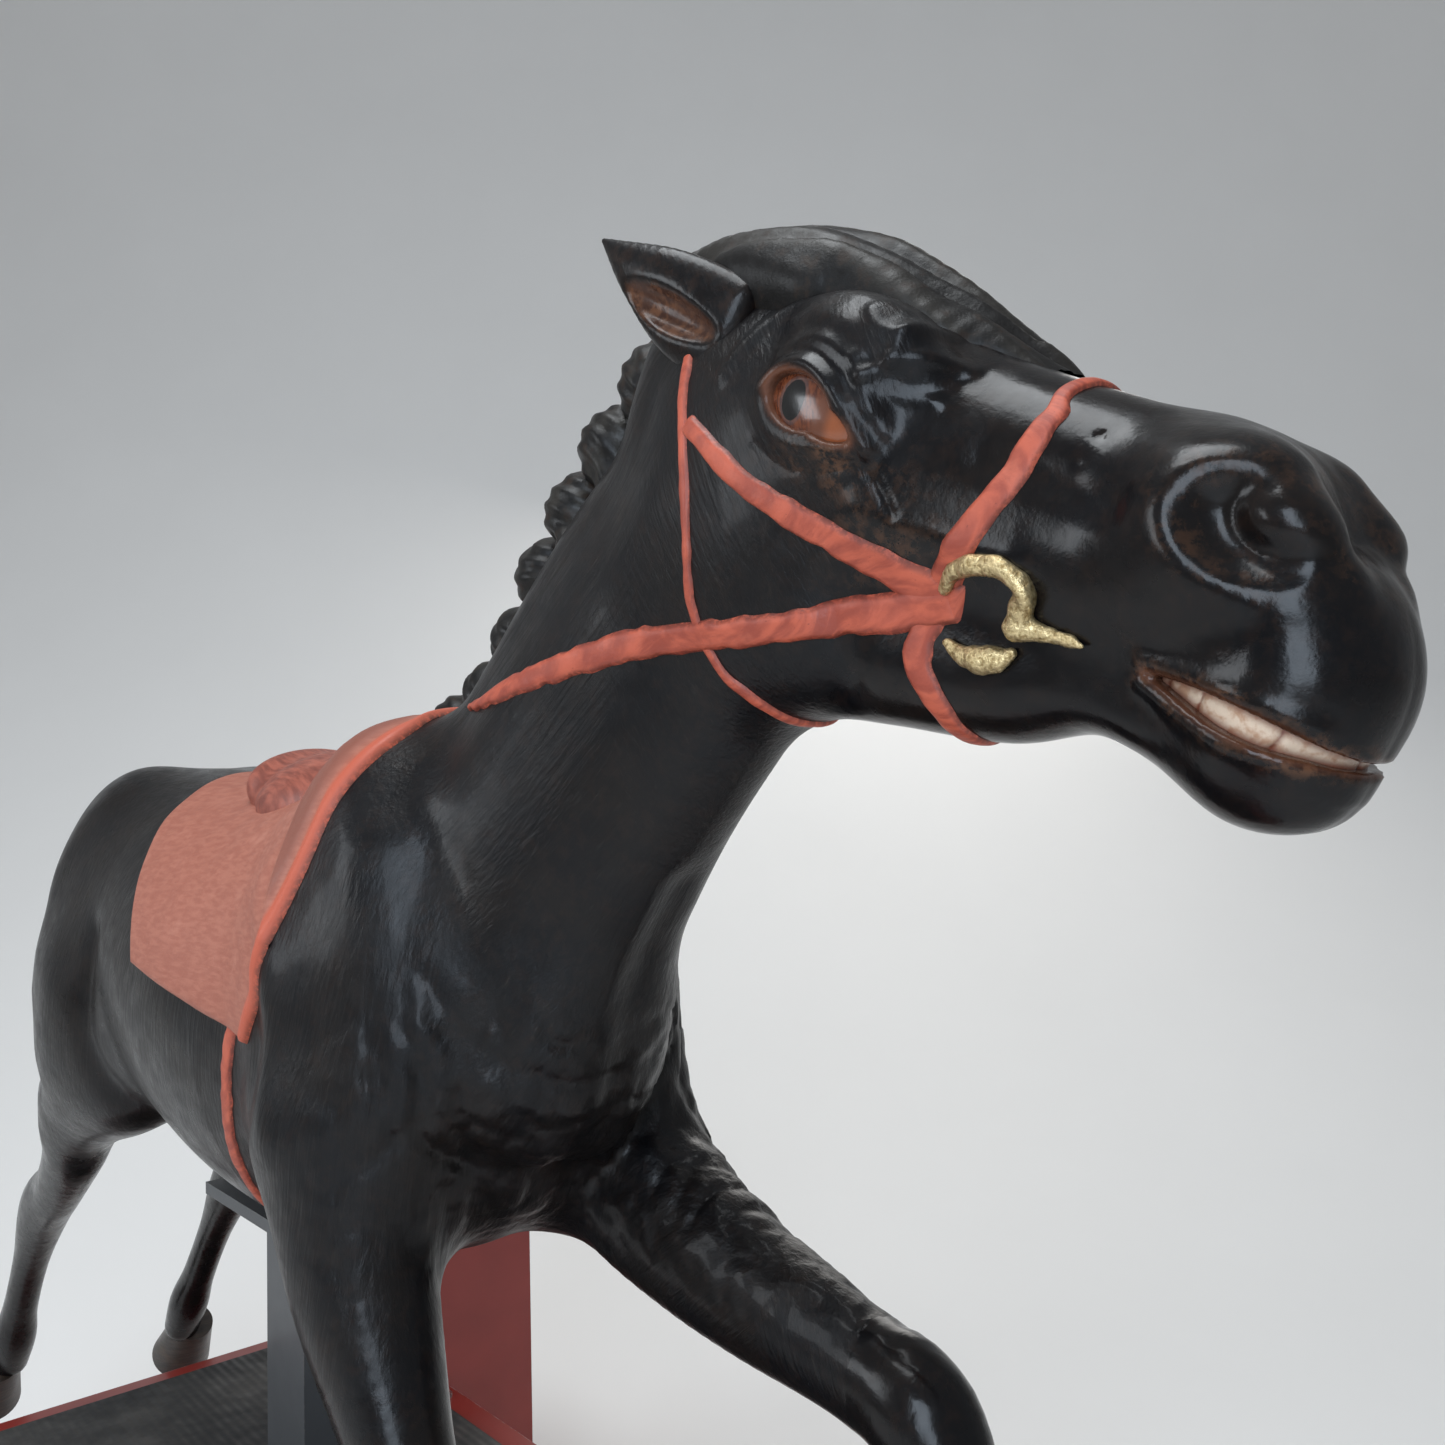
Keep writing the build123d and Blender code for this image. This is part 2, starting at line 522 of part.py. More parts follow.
def gear(teeth, half_width, x, bore, turn):
    """A spur gear with trapezoid teeth, thinned for backlash."""
    pitch_r = MODULE * teeth / 2
    root, tip = pitch_r - 1.2 * MODULE, pitch_r + ADDENDUM
    step = 2 * math.pi / teeth
    points = []
    for i in range(teeth):
        middle = i * step + turn
        for radius, share in ((root, -0.36), (tip, -0.12), (tip, 0.12), (root, 0.36)):
            angle = middle + share * step
            points.append((radius * math.cos(angle), radius * math.sin(angle)))
    blank = extrude(make_face(Plane.XZ * Polyline(*points, close=True)), amount=half_width, both=True)
    return Pos(x, GEAR_Y, CRANK_Z) * blank - rod("y", 0, 90, x, CRANK_Z, bore)


def groove_profile(radius, bore, clear):
    """Half the section of a V-belt pulley, grown by a clearance."""
    rim, floor = radius + clear, radius - GROOVE_DEPTH
    mouth, base = 5.4 - clear, 3.0 - clear
    return [(bore, -PULLEY_HALF), (rim, -PULLEY_HALF), (rim, -mouth), (floor, -base),
            (floor, base), (rim, mouth), (rim, PULLEY_HALF), (bore, PULLEY_HALF)]


def pulley(x, z, radius, bore, clear=0.0):
    """A V-belt pulley in the belt's plane."""
    face = make_face(Polyline(*groove_profile(radius, bore, clear), close=True))
    return Pos(x, PULLEY_Y, z) * revolve(face, Axis.Y)


def belt_loop(grow):
    """The outline of the belt round both pulleys: two circles and the tangents to them."""
    dx, dz = JACK_X - MOTOR_X, CRANK_Z - MOTOR_Z
    small, large = MOTOR_PULLEY_R + grow, DRIVEN_PULLEY_R + grow
    lean = math.atan2(dz, dx)
    spread = math.asin((DRIVEN_PULLEY_R - MOTOR_PULLEY_R) / math.hypot(dx, dz))
    up, down = lean + math.pi / 2 + spread, lean - math.pi / 2 - spread
    tangents = [(0, 0, small, up), (dx, dz, large, up), (dx, dz, large, down), (0, 0, small, down)]
    points = [(x + r * math.cos(angle), z + r * math.sin(angle)) for x, z, r, angle in tangents]
    return make_face(Polyline(*points, close=True)) + Circle(small) + Pos(dx, dz) * Circle(large)


def belt():
    """The V-belt round both pulleys, lying in their grooves with a little clearance."""
    ring = belt_loop(BELT_BACK) - belt_loop(BELT_INNER)
    loop = Pos(MOTOR_X, PULLEY_Y, MOTOR_Z) * extrude(Plane.XZ * ring, amount=BELT_HALF, both=True)
    loop -= pulley(MOTOR_X, MOTOR_Z, MOTOR_PULLEY_R, 0.0, 0.4)
    return loop - pulley(JACK_X, CRANK_Z, DRIVEN_PULLEY_R, 0.0, 0.4)


def shaft_bearings():
    """Two bearing blocks for the jackshaft and two for the crankshaft."""
    made = []
    for x, shaft_r, places in ((JACK_X, JACK_SHAFT_R, (8, 62)), (CRANK_X, CRANK_SHAFT_R, (12, 58))):
        for y in places:
            low, high = y - BEARING_HALF, y + BEARING_HALF
            block = box(x - 18, x + 18, low, high, PLATE_TOP, CRANK_Z) + rod("y", low, high, x, CRANK_Z, 18)
            made.append(block - rod("y", low - 2, high + 2, x, CRANK_Z, shaft_r + RUN_FIT))
    return made


def motor_body():
    """The motor: round body, end cap and foot, bored for its shaft."""
    motor = rod("y", -60, 62, MOTOR_X, MOTOR_Z, MOTOR_R)
    motor += rod("y", -72, -60, MOTOR_X, MOTOR_Z, MOTOR_R - 4)
    motor += box(MOTOR_X - 34, MOTOR_X + 34, -50, 50, PLATE_TOP, MOTOR_Z)
    return motor - rod("y", -66, 70, MOTOR_X, MOTOR_Z, MOTOR_SHAFT_R + RUN_FIT)


def crank_arm():
    """The crank web with its pin, which ends just short of the connecting rod."""
    pin_x = CRANK_X + CRANK_THROW
    web = rod("y", -6, 2, CRANK_X, CRANK_Z, 17) + rod("y", -6, 2, pin_x, CRANK_Z, 12)
    return web + rod("y", -7.5, -6, pin_x, CRANK_Z, 8) - rod("y", -6, 9, CRANK_X, CRANK_Z, CRANK_SHAFT_R)


def drive():
    """Motor, belt, jackshaft and crankshaft."""
    shaft_end = PULLEY_Y + 14
    save("motor_body", motor_body())
    save("motor_shaft", rod("y", -65, shaft_end, MOTOR_X, MOTOR_Z, MOTOR_SHAFT_R))
    save("motor_pulley", pulley(MOTOR_X, MOTOR_Z, MOTOR_PULLEY_R, MOTOR_SHAFT_R))
    save("drive_belt", belt())
    save("shaft_bearings", group(shaft_bearings()))
    save("jackshaft", rod("y", 0, shaft_end, JACK_X, CRANK_Z, JACK_SHAFT_R))
    save("driven_pulley", pulley(JACK_X, CRANK_Z, DRIVEN_PULLEY_R, JACK_SHAFT_R))
    save("pinion", gear(PINION_TEETH, 10, JACK_X, JACK_SHAFT_R, 0.0))
    save("crankshaft", rod("y", -6, 66, CRANK_X, CRANK_Z, CRANK_SHAFT_R))
    save("bull_gear", gear(BULL_TEETH, 8, CRANK_X, CRANK_SHAFT_R, math.pi / BULL_TEETH))
    save("crank_arm", crank_arm())


# ---- the rocker ------------------------------------------------------------------------------------
ROD_Y = (-24.0, -9.0)
LUG_R = 7.0
HUB_R = 24.0
POST_X, POST_Y, POST_WALL = 30.0, 20.0, 4.0           # half sizes and wall of the post
POST_TOP = BELLY_Z - 3.0


def rocker_frame():
    """The rocking arm: a hub on the shaft and two cheeks back to the connecting rod's pin."""
    frame = rod("y", -118, 118, 0, PIVOT_Z, HUB_R)
    for low, high in ((-46, -30), (-4, 10)):
        frame += box(CRANK_X - 16, -10, low, high, PIVOT_Z - 14, PIVOT_Z + 14)
    frame += rod("y", -46, 10, CRANK_X, PIVOT_Z, LUG_R)
    return frame - rod("y", -130, 130, 0, PIVOT_Z, PIVOT_R)


def pedestal_post():
    """The tube from the hub up to the horse's belly plate."""
    post = box(-POST_X, POST_X, -POST_Y, POST_Y, PIVOT_Z + 20, POST_TOP)
    inner_x, inner_y = POST_X - POST_WALL, POST_Y - POST_WALL
    post -= box(-inner_x, inner_x, -inner_y, inner_y, PIVOT_Z, POST_TOP + 9)
    post += box(-75, 75, -45, 45, POST_TOP - 8, POST_TOP)
    return post - rod("y", -60, 60, 0, PIVOT_Z, HUB_R) - torso_outer


def slot_cover():
    """The plate on the post that hides the deck's slot."""
    cover = box(-100, 100, -56, 56, DECK_TOP + 22, DECK_TOP + 25)
    return cover - box(-POST_X, POST_X, -POST_Y, POST_Y, 200, 400)


def connecting_rod():
    """The link from the rocking arm's pin down to the crank pin."""
    low, high = ROD_Y
    foot_x = CRANK_X + CRANK_THROW
    dx, dz = foot_x - CRANK_X, CRANK_Z - PIVOT_Z
    size = math.hypot(dx, dz)
    lean = math.degrees(math.atan2(dx, -dz))
    shank = Pos((CRANK_X + foot_x) / 2, (low + high) / 2, (PIVOT_Z + CRANK_Z) / 2) * Rot(0, -lean, 0)
    link = shank * Box(16, high - low - 6, size)
    link += rod("y", low, high, CRANK_X, PIVOT_Z, 15) + rod("y", low, high, foot_x, CRANK_Z, 16)
    return link - rod("y", low - 9, high + 9, CRANK_X, PIVOT_Z, LUG_R + RUN_FIT)


def armature():
    """The steel tube inside the torso, on two struts up from the belly."""
    spine_z = 480 + RIDE_Z
    bore = rod("x", -190, 210, 0, spine_z, 13)
    frame = rod("x", -180, 200, 0, spine_z, 16) - bore
    for x in (-45, 45):
        frame += rod("z", BELLY_Z + 8, spine_z - 14, x, 0, 12) - bore
    return frame & torso_inner


def rocker():
    """The rocking arm and what it carries."""
    save("rocker_frame", rocker_frame())
    save("pivot_shaft", rod("y", -186, 186, 0, PIVOT_Z, PIVOT_R))
    save("pedestal_post", pedestal_post())
    save("slot_cover", slot_cover())
    save("connecting_rod", connecting_rod())
    save("armature", armature())


# ---- the electrics ---------------------------------------------------------------------------------
def power_inlet():
    """The power inlet in the rear panel, with its three pins."""
    y0, y1 = INLET_Y
    z0, z1 = INLET_Z
    inlet = box(-HALF_L - 3, -HALF_L, y0 - 4, y1 + 4, z0 - 4, z1 + 4)
    inlet += box(-HALF_L, -HALF_L + 28, y0 + GAP, y1 - GAP, z0 + GAP, z1 - GAP)
    inlet -= box(-HALF_L - 9, -HALF_L + 18, y0 + 3, y1 - 3, z0 + 4, z1 - 4)
    for y, z in ((109, 95), (119, 95), (114, 89)):
        inlet += rod("x", -HALF_L + 2, -HALF_L + 20, y, z, 1.5)
    return inlet


def electrics():
    """The timer box on the left panel, and the power inlet."""
    save("timer_box", box(200, 330, FRAME_Y - 90, FRAME_Y, 80, 150))
    save("power_inlet", power_inlet())


os.makedirs("parts", exist_ok=True)
save("floor_pads", group(floor_pads()))
save("base_frame", base_frame())
save("mechanism_plate", mechanism_plate())
save("pillow_blocks", group(pillow_blocks()))
panels()
save("service_door", service_door())
deck()
coin_box()
drive()
rocker()
electrics()
horse_shells()
legs()
save("hooves", group(hooves()))
save("eyes", group(eyes()))
save("ears", group(ears()))
save("teeth", teeth())
save("mane", mane())
save("forelock", forelock())
save("tail", tail())
bridle()
save("bit_rings", group(bit_rings()))
saddlery()
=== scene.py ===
import json
import math
from concurrent.futures import ThreadPoolExecutor

import bpy
import numpy as np
from mathutils import Matrix, Vector


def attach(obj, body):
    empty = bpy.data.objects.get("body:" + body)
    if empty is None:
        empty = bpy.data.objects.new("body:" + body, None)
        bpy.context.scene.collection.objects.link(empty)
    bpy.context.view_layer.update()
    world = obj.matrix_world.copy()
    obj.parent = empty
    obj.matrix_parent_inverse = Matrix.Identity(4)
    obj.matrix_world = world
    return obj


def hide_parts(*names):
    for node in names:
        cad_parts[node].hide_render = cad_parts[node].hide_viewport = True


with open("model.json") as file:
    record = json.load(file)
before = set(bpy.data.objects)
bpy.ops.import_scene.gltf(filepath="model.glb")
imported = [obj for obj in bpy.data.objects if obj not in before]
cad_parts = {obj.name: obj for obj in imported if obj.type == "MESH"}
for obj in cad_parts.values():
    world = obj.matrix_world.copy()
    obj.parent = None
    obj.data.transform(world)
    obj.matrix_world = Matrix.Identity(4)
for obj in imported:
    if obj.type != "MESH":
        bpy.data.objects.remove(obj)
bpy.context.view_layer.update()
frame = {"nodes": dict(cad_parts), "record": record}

RIDE_Z = 0.200              # how high the horse's own ground line stands above the floor
BODY_STEP = 0.0030          # grid of the sculpted body
HEAD_STEP = 0.0015          # grid of the sculpted head
SEAM_X = 0.465              # where the body's grid ends, under the throatlatch
OVERLAP = 0.002             # how far the next grids start before that


# ---- distance fields -----------------------------------------------------------------------------
def smooth_rows(rows, per=8):
    """Catmull-Rom points through the rows."""
    rows = np.array(rows, float)
    ends = np.vstack([2 * rows[0] - rows[1], rows, 2 * rows[-1] - rows[-2]])
    out = []
    for i in range(len(rows) - 1):
        a, b, c, d = ends[i:i + 4]
        for k in range(per):
            t = k / per
            out.append(0.5 * (2 * b + (c - a) * t + (2 * a - 5 * b + 4 * c - d) * t ** 2
                              + (3 * b - a - 3 * c + d) * t ** 3))
    return np.array(out + [rows[-1]])


def distance_along(line):
    """How far along a line each of its points is."""
    return np.concatenate([[0], np.cumsum(np.linalg.norm(np.diff(line, axis=0), axis=1))])


def over_back(rows):
    """Rows on the right side that end on the middle plane, carried on down the left side."""
    return rows + [(x, -y, *more) for x, y, *more in rows[-2::-1]]


def smin(a, b, k):
    """Smooth minimum: joins two fields with a fillet of about k."""
    h = np.clip(0.5 + 0.5 * (b - a) / k, 0, 1)
    return b + (a - b) * h - k * h * (1 - h)


def smax(a, b, k):
    """Smooth maximum: cuts one field by another with a rounded edge."""
    return -smin(-a, -b, k)


def stretched(a, b, c, ra, rb, rc):
    """About the distance to an ellipsoid with radii ra, rb, rc, which may vary from point to point."""
    ratio = np.sqrt((a / ra) ** 2 + (b / rb) ** 2 + (c / rc) ** 2)
    size = np.sqrt(a * a + b * b + c * c)
    least = -np.minimum(np.minimum(ra, rb), rc)
    return np.where(ratio < 1e-4, least, size - size / np.maximum(ratio, 1e-4))


def profile(P, origin, direction, rows):
    """A body along a straight line in the XZ plane: rows of (along, centre, half width, above, below)."""
    R = smooth_rows(rows)
    ux, uz = np.array(direction) / math.hypot(*direction)
    dx, dz = P[:, 0] - origin[0], P[:, 2] - origin[1]
    along, up = dx * ux + dz * uz, -dx * uz + dz * ux
    centre, width, above, below = (np.interp(along, R[:, 0], R[:, i]) for i in range(1, 5))
    rise = up - centre
    over = along - np.clip(along, R[0, 0], R[-1, 0])
    height = np.where(rise > 0, above, below)
    return stretched(P[:, 1], rise, over, width, height, np.minimum(width, height))


def tube(P, rows, lat=(0, 1, 0), per=4):
    """A limb through rows of (x, y, z, half width along lat, front, back)."""
    R = smooth_rows(rows, per)
    best = np.full(len(P), 1.0)
    reach = R[:, 3:].max() + 0.05
    near = np.all((P > R[:, :3].min(0) - reach) & (P < R[:, :3].max(0) + reach), axis=1)
    Q = P[near]
    if len(Q) == 0:
        return best
    field = np.full(len(Q), 1.0)
    lat = np.array(lat, float)
    for a, b in zip(R[:-1], R[1:]):
        size = np.linalg.norm(b[:3] - a[:3])
        u = (b[:3] - a[:3]) / size
        side = lat - u * (lat @ u)
        side /= np.linalg.norm(side)
        v = Q - a[:3]
        t = np.clip(v @ u / size, 0, 1)
        v = v - np.outer(t * size, u)
        w, f, k = ((a[i] + (b[i] - a[i]) * t) for i in (3, 4, 5))
        ahead = v @ np.cross(u, side)
        depth = np.where(ahead > 0, f, k)
        field = np.minimum(field, stretched(v @ side, ahead, v @ u, w, depth, np.minimum(w, depth)))
    best[near] = field
    return best


def turn(yaw=0.0, pitch=0.0, roll=0.0):
    """Rows are the axes of a frame turned about X, then Y, then Z, in degrees."""
    y, p, r = (math.radians(v) for v in (yaw, pitch, roll))
    rz = np.array([[math.cos(y), -math.sin(y), 0], [math.sin(y), math.cos(y), 0], [0, 0, 1]])
    ry = np.array([[math.cos(p), 0, math.sin(p)], [0, 1, 0], [-math.sin(p), 0, math.cos(p)]])
    rx = np.array([[1, 0, 0], [0, math.cos(r), -math.sin(r)], [0, math.sin(r), math.cos(r)]])
    return (rz @ ry @ rx).T


def ball(P, centre, radii, axes=None):
    """An ellipsoid's field."""
    v = P - np.array(centre)
    if axes is not None:
        v = v @ axes.T
    return stretched(v[:, 0], v[:, 1], v[:, 2], *radii)


def add(d, P, centre, radii, k, axes=None):
    """Joins an ellipsoid to the field, working only on the points near it."""
    near = np.linalg.norm(P - np.array(centre), axis=1) < max(radii) + k + 0.01
    d[near] = smin(d[near], ball(P[near], centre, radii, axes), k)


def dig(d, P, centre, radii, k, axes=None):
    """Hollows an ellipsoid out of the field."""
    near = np.linalg.norm(P - np.array(centre), axis=1) < max(radii) + k + 0.01
    d[near] = smax(d[near], -ball(P[near], centre, radii, axes), k)


def mirrored(P):
    """The points with both sides folded onto +Y."""
    M = P.copy()
    M[:, 1] = np.abs(M[:, 1])
    return M


def noise(P, scale, seed=0):
    """Smooth noise from 0 to 1. scale is one size or three, in metres."""
    Q = P / np.array(scale) + 50
    cell = np.floor(Q).astype(np.int64)
    f = Q - cell
    f = f * f * (3 - 2 * f)
    total = np.zeros(len(P))
    for i in (0, 1):
        for j in (0, 1):
            for k in (0, 1):
                n = ((cell[:, 0] + i) * 374761393 + (cell[:, 1] + j) * 668265263
                     + (cell[:, 2] + k) * 1440662683 + seed * 1274126177) & 0xFFFFFFFF
                n = ((n ^ (n >> 13)) * 1274126177) & 0xFFFFFFFF
                value = ((n ^ (n >> 16)) & 0xFFFF) / 65535.0
                weight = (f[:, 0] if i else 1 - f[:, 0]) * (f[:, 1] if j else 1 - f[:, 1])
                total += value * weight * (f[:, 2] if k else 1 - f[:, 2])
    return total


def creases(P, scale, seed=0):
    """Sharp valleys between rounded cells, from 0 in a valley to 1."""
    warped = P + (noise(P, np.array(scale) * 1.7, seed + 5)[:, None] - 0.5) * np.array(scale)
    return np.abs(2 * noise(warped, scale, seed) - 1)


def near_line(u, v, points):
    """Distance in a plane from each (u, v) to a smooth line through the points."""
    line = smooth_rows(points, 4)
    best = np.full(len(u), 1.0)
    for a, b in zip(line[:-1], line[1:]):
        e = b - a
        t = np.clip(((u - a[0]) * e[0] + (v - a[1]) * e[1]) / (e @ e), 0, 1)
        best = np.minimum(best, np.hypot(u - a[0] - t * e[0], v - a[1] - t * e[1]))
    return best


def bump(distance, width):
    """A soft ridge's height over its distance."""
    return np.exp(-(distance / width) ** 2)


def ramp(x, low, high):
    """Smooth step from 0 at low to 1 at high."""
    t = np.clip((x - low) / (high - low), 0, 1)
    return t * t * (3 - 2 * t)


# ---- the grid ------------------------------------------------------------------------------------
def evaluate(field, points):
    """The field at many points, in four threads."""
    chunk = 60000
    parts = np.array_split(points, max(1, len(points) // chunk))
    with ThreadPoolExecutor(4) as pool:
        return np.concatenate(list(pool.map(field, parts)))


def surface(field, low, high, step, levels=3):
    """Vertices and quads of the field's zero surface, refined only near it."""
    low, high = np.array(low, float), np.array(high, float)
    spacing = step * 2 ** levels
    count = np.ceil((high - low) / spacing).astype(int) + 1
    axes = [low[i] + np.arange(count[i]) * spacing for i in range(3)]
    grid = np.stack(np.meshgrid(*axes, indexing="ij"), -1)
    values = evaluate(field, grid.reshape(-1, 3)).reshape(count)
    for _ in range(levels):
        finer = (count - 1) * 2 + 1
        index = [np.minimum((np.arange(n) + 1) // 2, c - 1) for n, c in zip(finer, count)]
        values = values[np.ix_(*index)]
        near = np.abs(values) < 1.8 * spacing
        spacing, count = spacing / 2, finer
        values[near] = evaluate(field, low + np.argwhere(near) * spacing)
    return surface_nets(values, low, spacing)


def surface_nets(F, low, step):
    """One vertex per crossed cell, one quad per crossed grid edge."""
    size = np.array(F.shape)
    inside = F < 0
    corners = [(i, j, k) for i in (0, 1) for j in (0, 1) for k in (0, 1)]
    filled = sum(inside[i:size[0] - 1 + i, j:size[1] - 1 + j, k:size[2] - 1 + k].astype(np.int8)
                 for i, j, k in corners)
    crossed = (filled > 0) & (filled < 8)
    cells = np.argwhere(crossed)
    number = np.full(crossed.shape, -1, np.int64)
    number[crossed] = np.arange(len(cells))
    value = [F[cells[:, 0] + i, cells[:, 1] + j, cells[:, 2] + k] for i, j, k in corners]
    total, hits = np.zeros((len(cells), 3)), np.zeros(len(cells))
    for a in range(8):
        for b in range(a + 1, 8):
            edge = np.array(corners[b]) - np.array(corners[a])
            if np.abs(edge).sum() != 1:
                continue
            cross = (value[a] < 0) != (value[b] < 0)
            t = np.where(cross, value[a] / np.where(cross, value[a] - value[b], 1), 0)
            total[cross] += (np.array(corners[a]) + t[:, None] * edge)[cross]
            hits[cross] += 1
    verts = (cells + total / hits[:, None]) * step + low
    quads = []
    for axis in range(3):
        first, second = [slice(1, -1)] * 3, [slice(1, -1)] * 3
        first[axis], second[axis] = slice(0, -1), slice(1, None)
        a, b = inside[tuple(first)], inside[tuple(second)]
        one, two = [i for i in range(3) if i != axis]
        for flip, mask in ((False, a & ~b), (True, ~a & b)):
            start = np.argwhere(mask) + [int(i != axis) for i in range(3)]
            ring = []
            for back_one, back_two in ((1, 1), (0, 1), (0, 0), (1, 0)):
                cell = start.copy()
                cell[:, one] -= back_one
                cell[:, two] -= back_two
                ring.append(number[cell[:, 0], cell[:, 1], cell[:, 2]])
            quad = np.stack(ring, 1)
            quads.append(quad[:, ::-1] if flip ^ (axis == 1) else quad)
    return verts, np.vstack(quads)


# ---- the horse, in metres from its own ground line -----------------------------------------------
# torso, neck, skull and jaw: (along, centre, half width, above, below)
TORSO = [(-.280, .008, .040, .052, .070), (-.262, .008, .062, .082, .096), (-.236, .006, .080, .102, .112),
         (-.200, .004, .094, .116, .120), (-.125, .000, .108, .120, .126), (-.045, -.014, .117, .120, .132),
         (.040, -.024, .120, .124, .138), (.110, -.022, .114, .130, .145), (.170, -.014, .106, .132, .146),
         (.225, -.008, .094, .120, .136), (.268, -.010, .078, .088, .108), (.290, -.018, .052, .052, .072)]
NECK = [(.000, .000, .082, .112, .100), (.046, -.015, .072, .112, .094), (.119, -.006, .056, .094, .088),
        (.184, .006, .047, .086, .088), (.243, .010, .043, .082, .086), (.291, .008, .041, .076, .082),
        (.327, .000, .040, .070, .076)]
SKULL = [(-.020, .000, .038, .045, .050), (.020, -.002, .046, .054, .055), (.060, .000, .049, .054, .055),
         (.100, .000, .045, .052, .052), (.140, .002, .037, .047, .045), (.180, .004, .033, .045, .040),
         (.212, .006, .032, .046, .040), (.236, .004, .030, .042, .040), (.255, -.005, .028, .033, .036)]
JAW = [(.020, -.055, .030, .030, .036), (.060, -.060, .034, .035, .039), (.100, -.062, .030, .030, .035),
       (.140, -.055, .024, .026, .029), (.180, -.047, .021, .022, .023), (.208, -.041, .018, .018, .012),
       (.232, -.039, .018, .018, .012), (.256, -.036, .018, .018, .015)]
TORSO_AT, TORSO_DIR = (0, .505), (1, 0)
NECK_AT, NECK_DIR = (.215, .520), (.255, .205)
HEAD_AT, HEAD_DIR = (.455, .765), (.875, -.484)
HEAD_TILT = math.degrees(math.atan2(-HEAD_DIR[1], HEAD_DIR[0]))
# legs: (x, y, z, half width, front, back)
FORE_LEFT = [(.235, .068, .420, .046, .060, .060), (.300, .066, .386, .036, .040, .050),
             (.370, .063, .363, .028, .032, .036), (.440, .062, .347, .022, .026, .026),
             (.476, .062, .334, .023, .026, .026), (.500, .063, .286, .016, .018, .018),
             (.512, .064, .240, .015, .016, .016), (.520, .064, .212, .018, .020, .020),
             (.534, .064, .184, .016, .018, .018)]
FORE_RIGHT = [(.215, -.076, .432, .042, .058, .058), (.236, -.076, .366, .035, .043, .043),
              (.268, -.076, .306, .025, .031, .031), (.292, -.076, .264, .021, .025, .025),
              (.290, -.076, .234, .022, .025, .025), (.245, -.076, .217, .015, .017, .017),
              (.196, -.076, .206, .014, .016, .016), (.168, -.076, .197, .018, .019, .019),
              (.150, -.076, .178, .015, .017, .017)]
HIND = [(-.180, .072, .470, .042, .070, .070), (-.205, .078, .410, .040, .055, .060),
        (-.244, .080, .362, .030, .036, .042), (-.272, .078, .328, .023, .026, .034),
        (-.326, .076, .286, .0185, .021, .027), (-.376, .075, .256, .0195, .022, .030),
        (-.424, .074, .204, .0145, .0145, .018), (-.467, .073, .151, .0140, .0145, .017),
        (-.492, .072, .118, .0175, .018, .020), (-.512, .072, .090, .016, .016, .018)]
HIND_LEFT_FORWARD = .034    # how far the left hind leg is ahead of the right


def head_point(s, n, y=0.0):
    """A point from its place along the head's axis, above it and to the side."""
    ux, uz = np.array(HEAD_DIR) / math.hypot(*HEAD_DIR)
    return (HEAD_AT[0] + s * ux - n * uz, y, HEAD_AT[1] + s * uz + n * ux)


def head_axes(P):
    """The place of each point along the head's axis, and above it."""
    ux, uz = np.array(HEAD_DIR) / math.hypot(*HEAD_DIR)
    dx, dz = P[:, 0] - HEAD_AT[0], P[:, 2] - HEAD_AT[1]
    return dx * ux + dz * uz, -dx * uz + dz * ux


SLOPE = turn(pitch=HEAD_TILT)
# places on the head are S along its axis and N above it
EYE_S, EYE_N = .0785, .0115
EYE_TURN = 3.0              # how much steeper the eye slants than the head, in degrees
NOSTRIL_S, NOSTRIL_N = .2425, .0270
MOUTH_S, MOUTH_N = .226, -.0240     # the corner of the mouth
MOUTH_LONG, MOUTH_OPEN = .062, .0040    # the gap's length, and half its height at the widest
# ridges and folds of the face, seen from the side: (height, width, line of (s, n))
FACE_LINES = [
    (.0034, .0034,
     [(.057, .012), (.063, .0205), (.076, .0250), (.090, .0215), (.102, .0130), (.111, .0055)]),
    (.0016, .0030, [(.056, .025), (.073, .0335), (.090, .0315), (.104, .0225), (.114, .0130)]),
    (.0012, .0022,
     [(.057, .007), (.065, .0000), (.077, -.0030), (.091, -.0010), (.104, .0015), (.110, .0020)]),
    (-.0012, .0020, [(.108, .0020), (.116, -.0040), (.126, -.0120)]),
    (.0020, .0040, [(.030, .010), (.036, .034), (.052, .050), (.080, .0535), (.120, .0520)]),
    (-.0007, .0016, [(.060, -.008), (.076, -.0115), (.095, -.0075), (.106, -.001)]),
    (.0016, .0040, [(.103, .0185), (.107, .0180)]),
    (.0016, .0026, [(.090, .0490), (.099, .0440), (.108, .0470)]),
    (.0018, .0026, [(.100, .0270), (.107, .0350), (.106, .0470)]),
    (.0016, .0024, [(.107, .0350), (.117, .0400), (.126, .0400)]),
    (.0013, .0026, [(.095, .0330), (.101, .0290), (.112, .0250), (.124, .0270)]),
    (.0020, .0080, [(.112, -.016), (.140, -.014), (.172, -.010)]),
    (-.0018, .0070, [(.150, .016), (.175, .018), (.200, .016)]),
    (-.0025, .0080, [(.108, -.050), (.118, -.070), (.116, -.090)]),
    (-.0012, .0012, [(.1805, .0340), (.1815, .0340)]),
    (-.0009, .0010, [(.1805, .0240), (.1815, .0240)]),
    (.0012, .0026, [(.224, -.0210), (.240, -.0185), (.262, -.0165), (.280, -.0170)]),
    (.0014, .0030, [(.226, -.0275), (.242, -.0305), (.262, -.0315), (.278, -.0290)])]
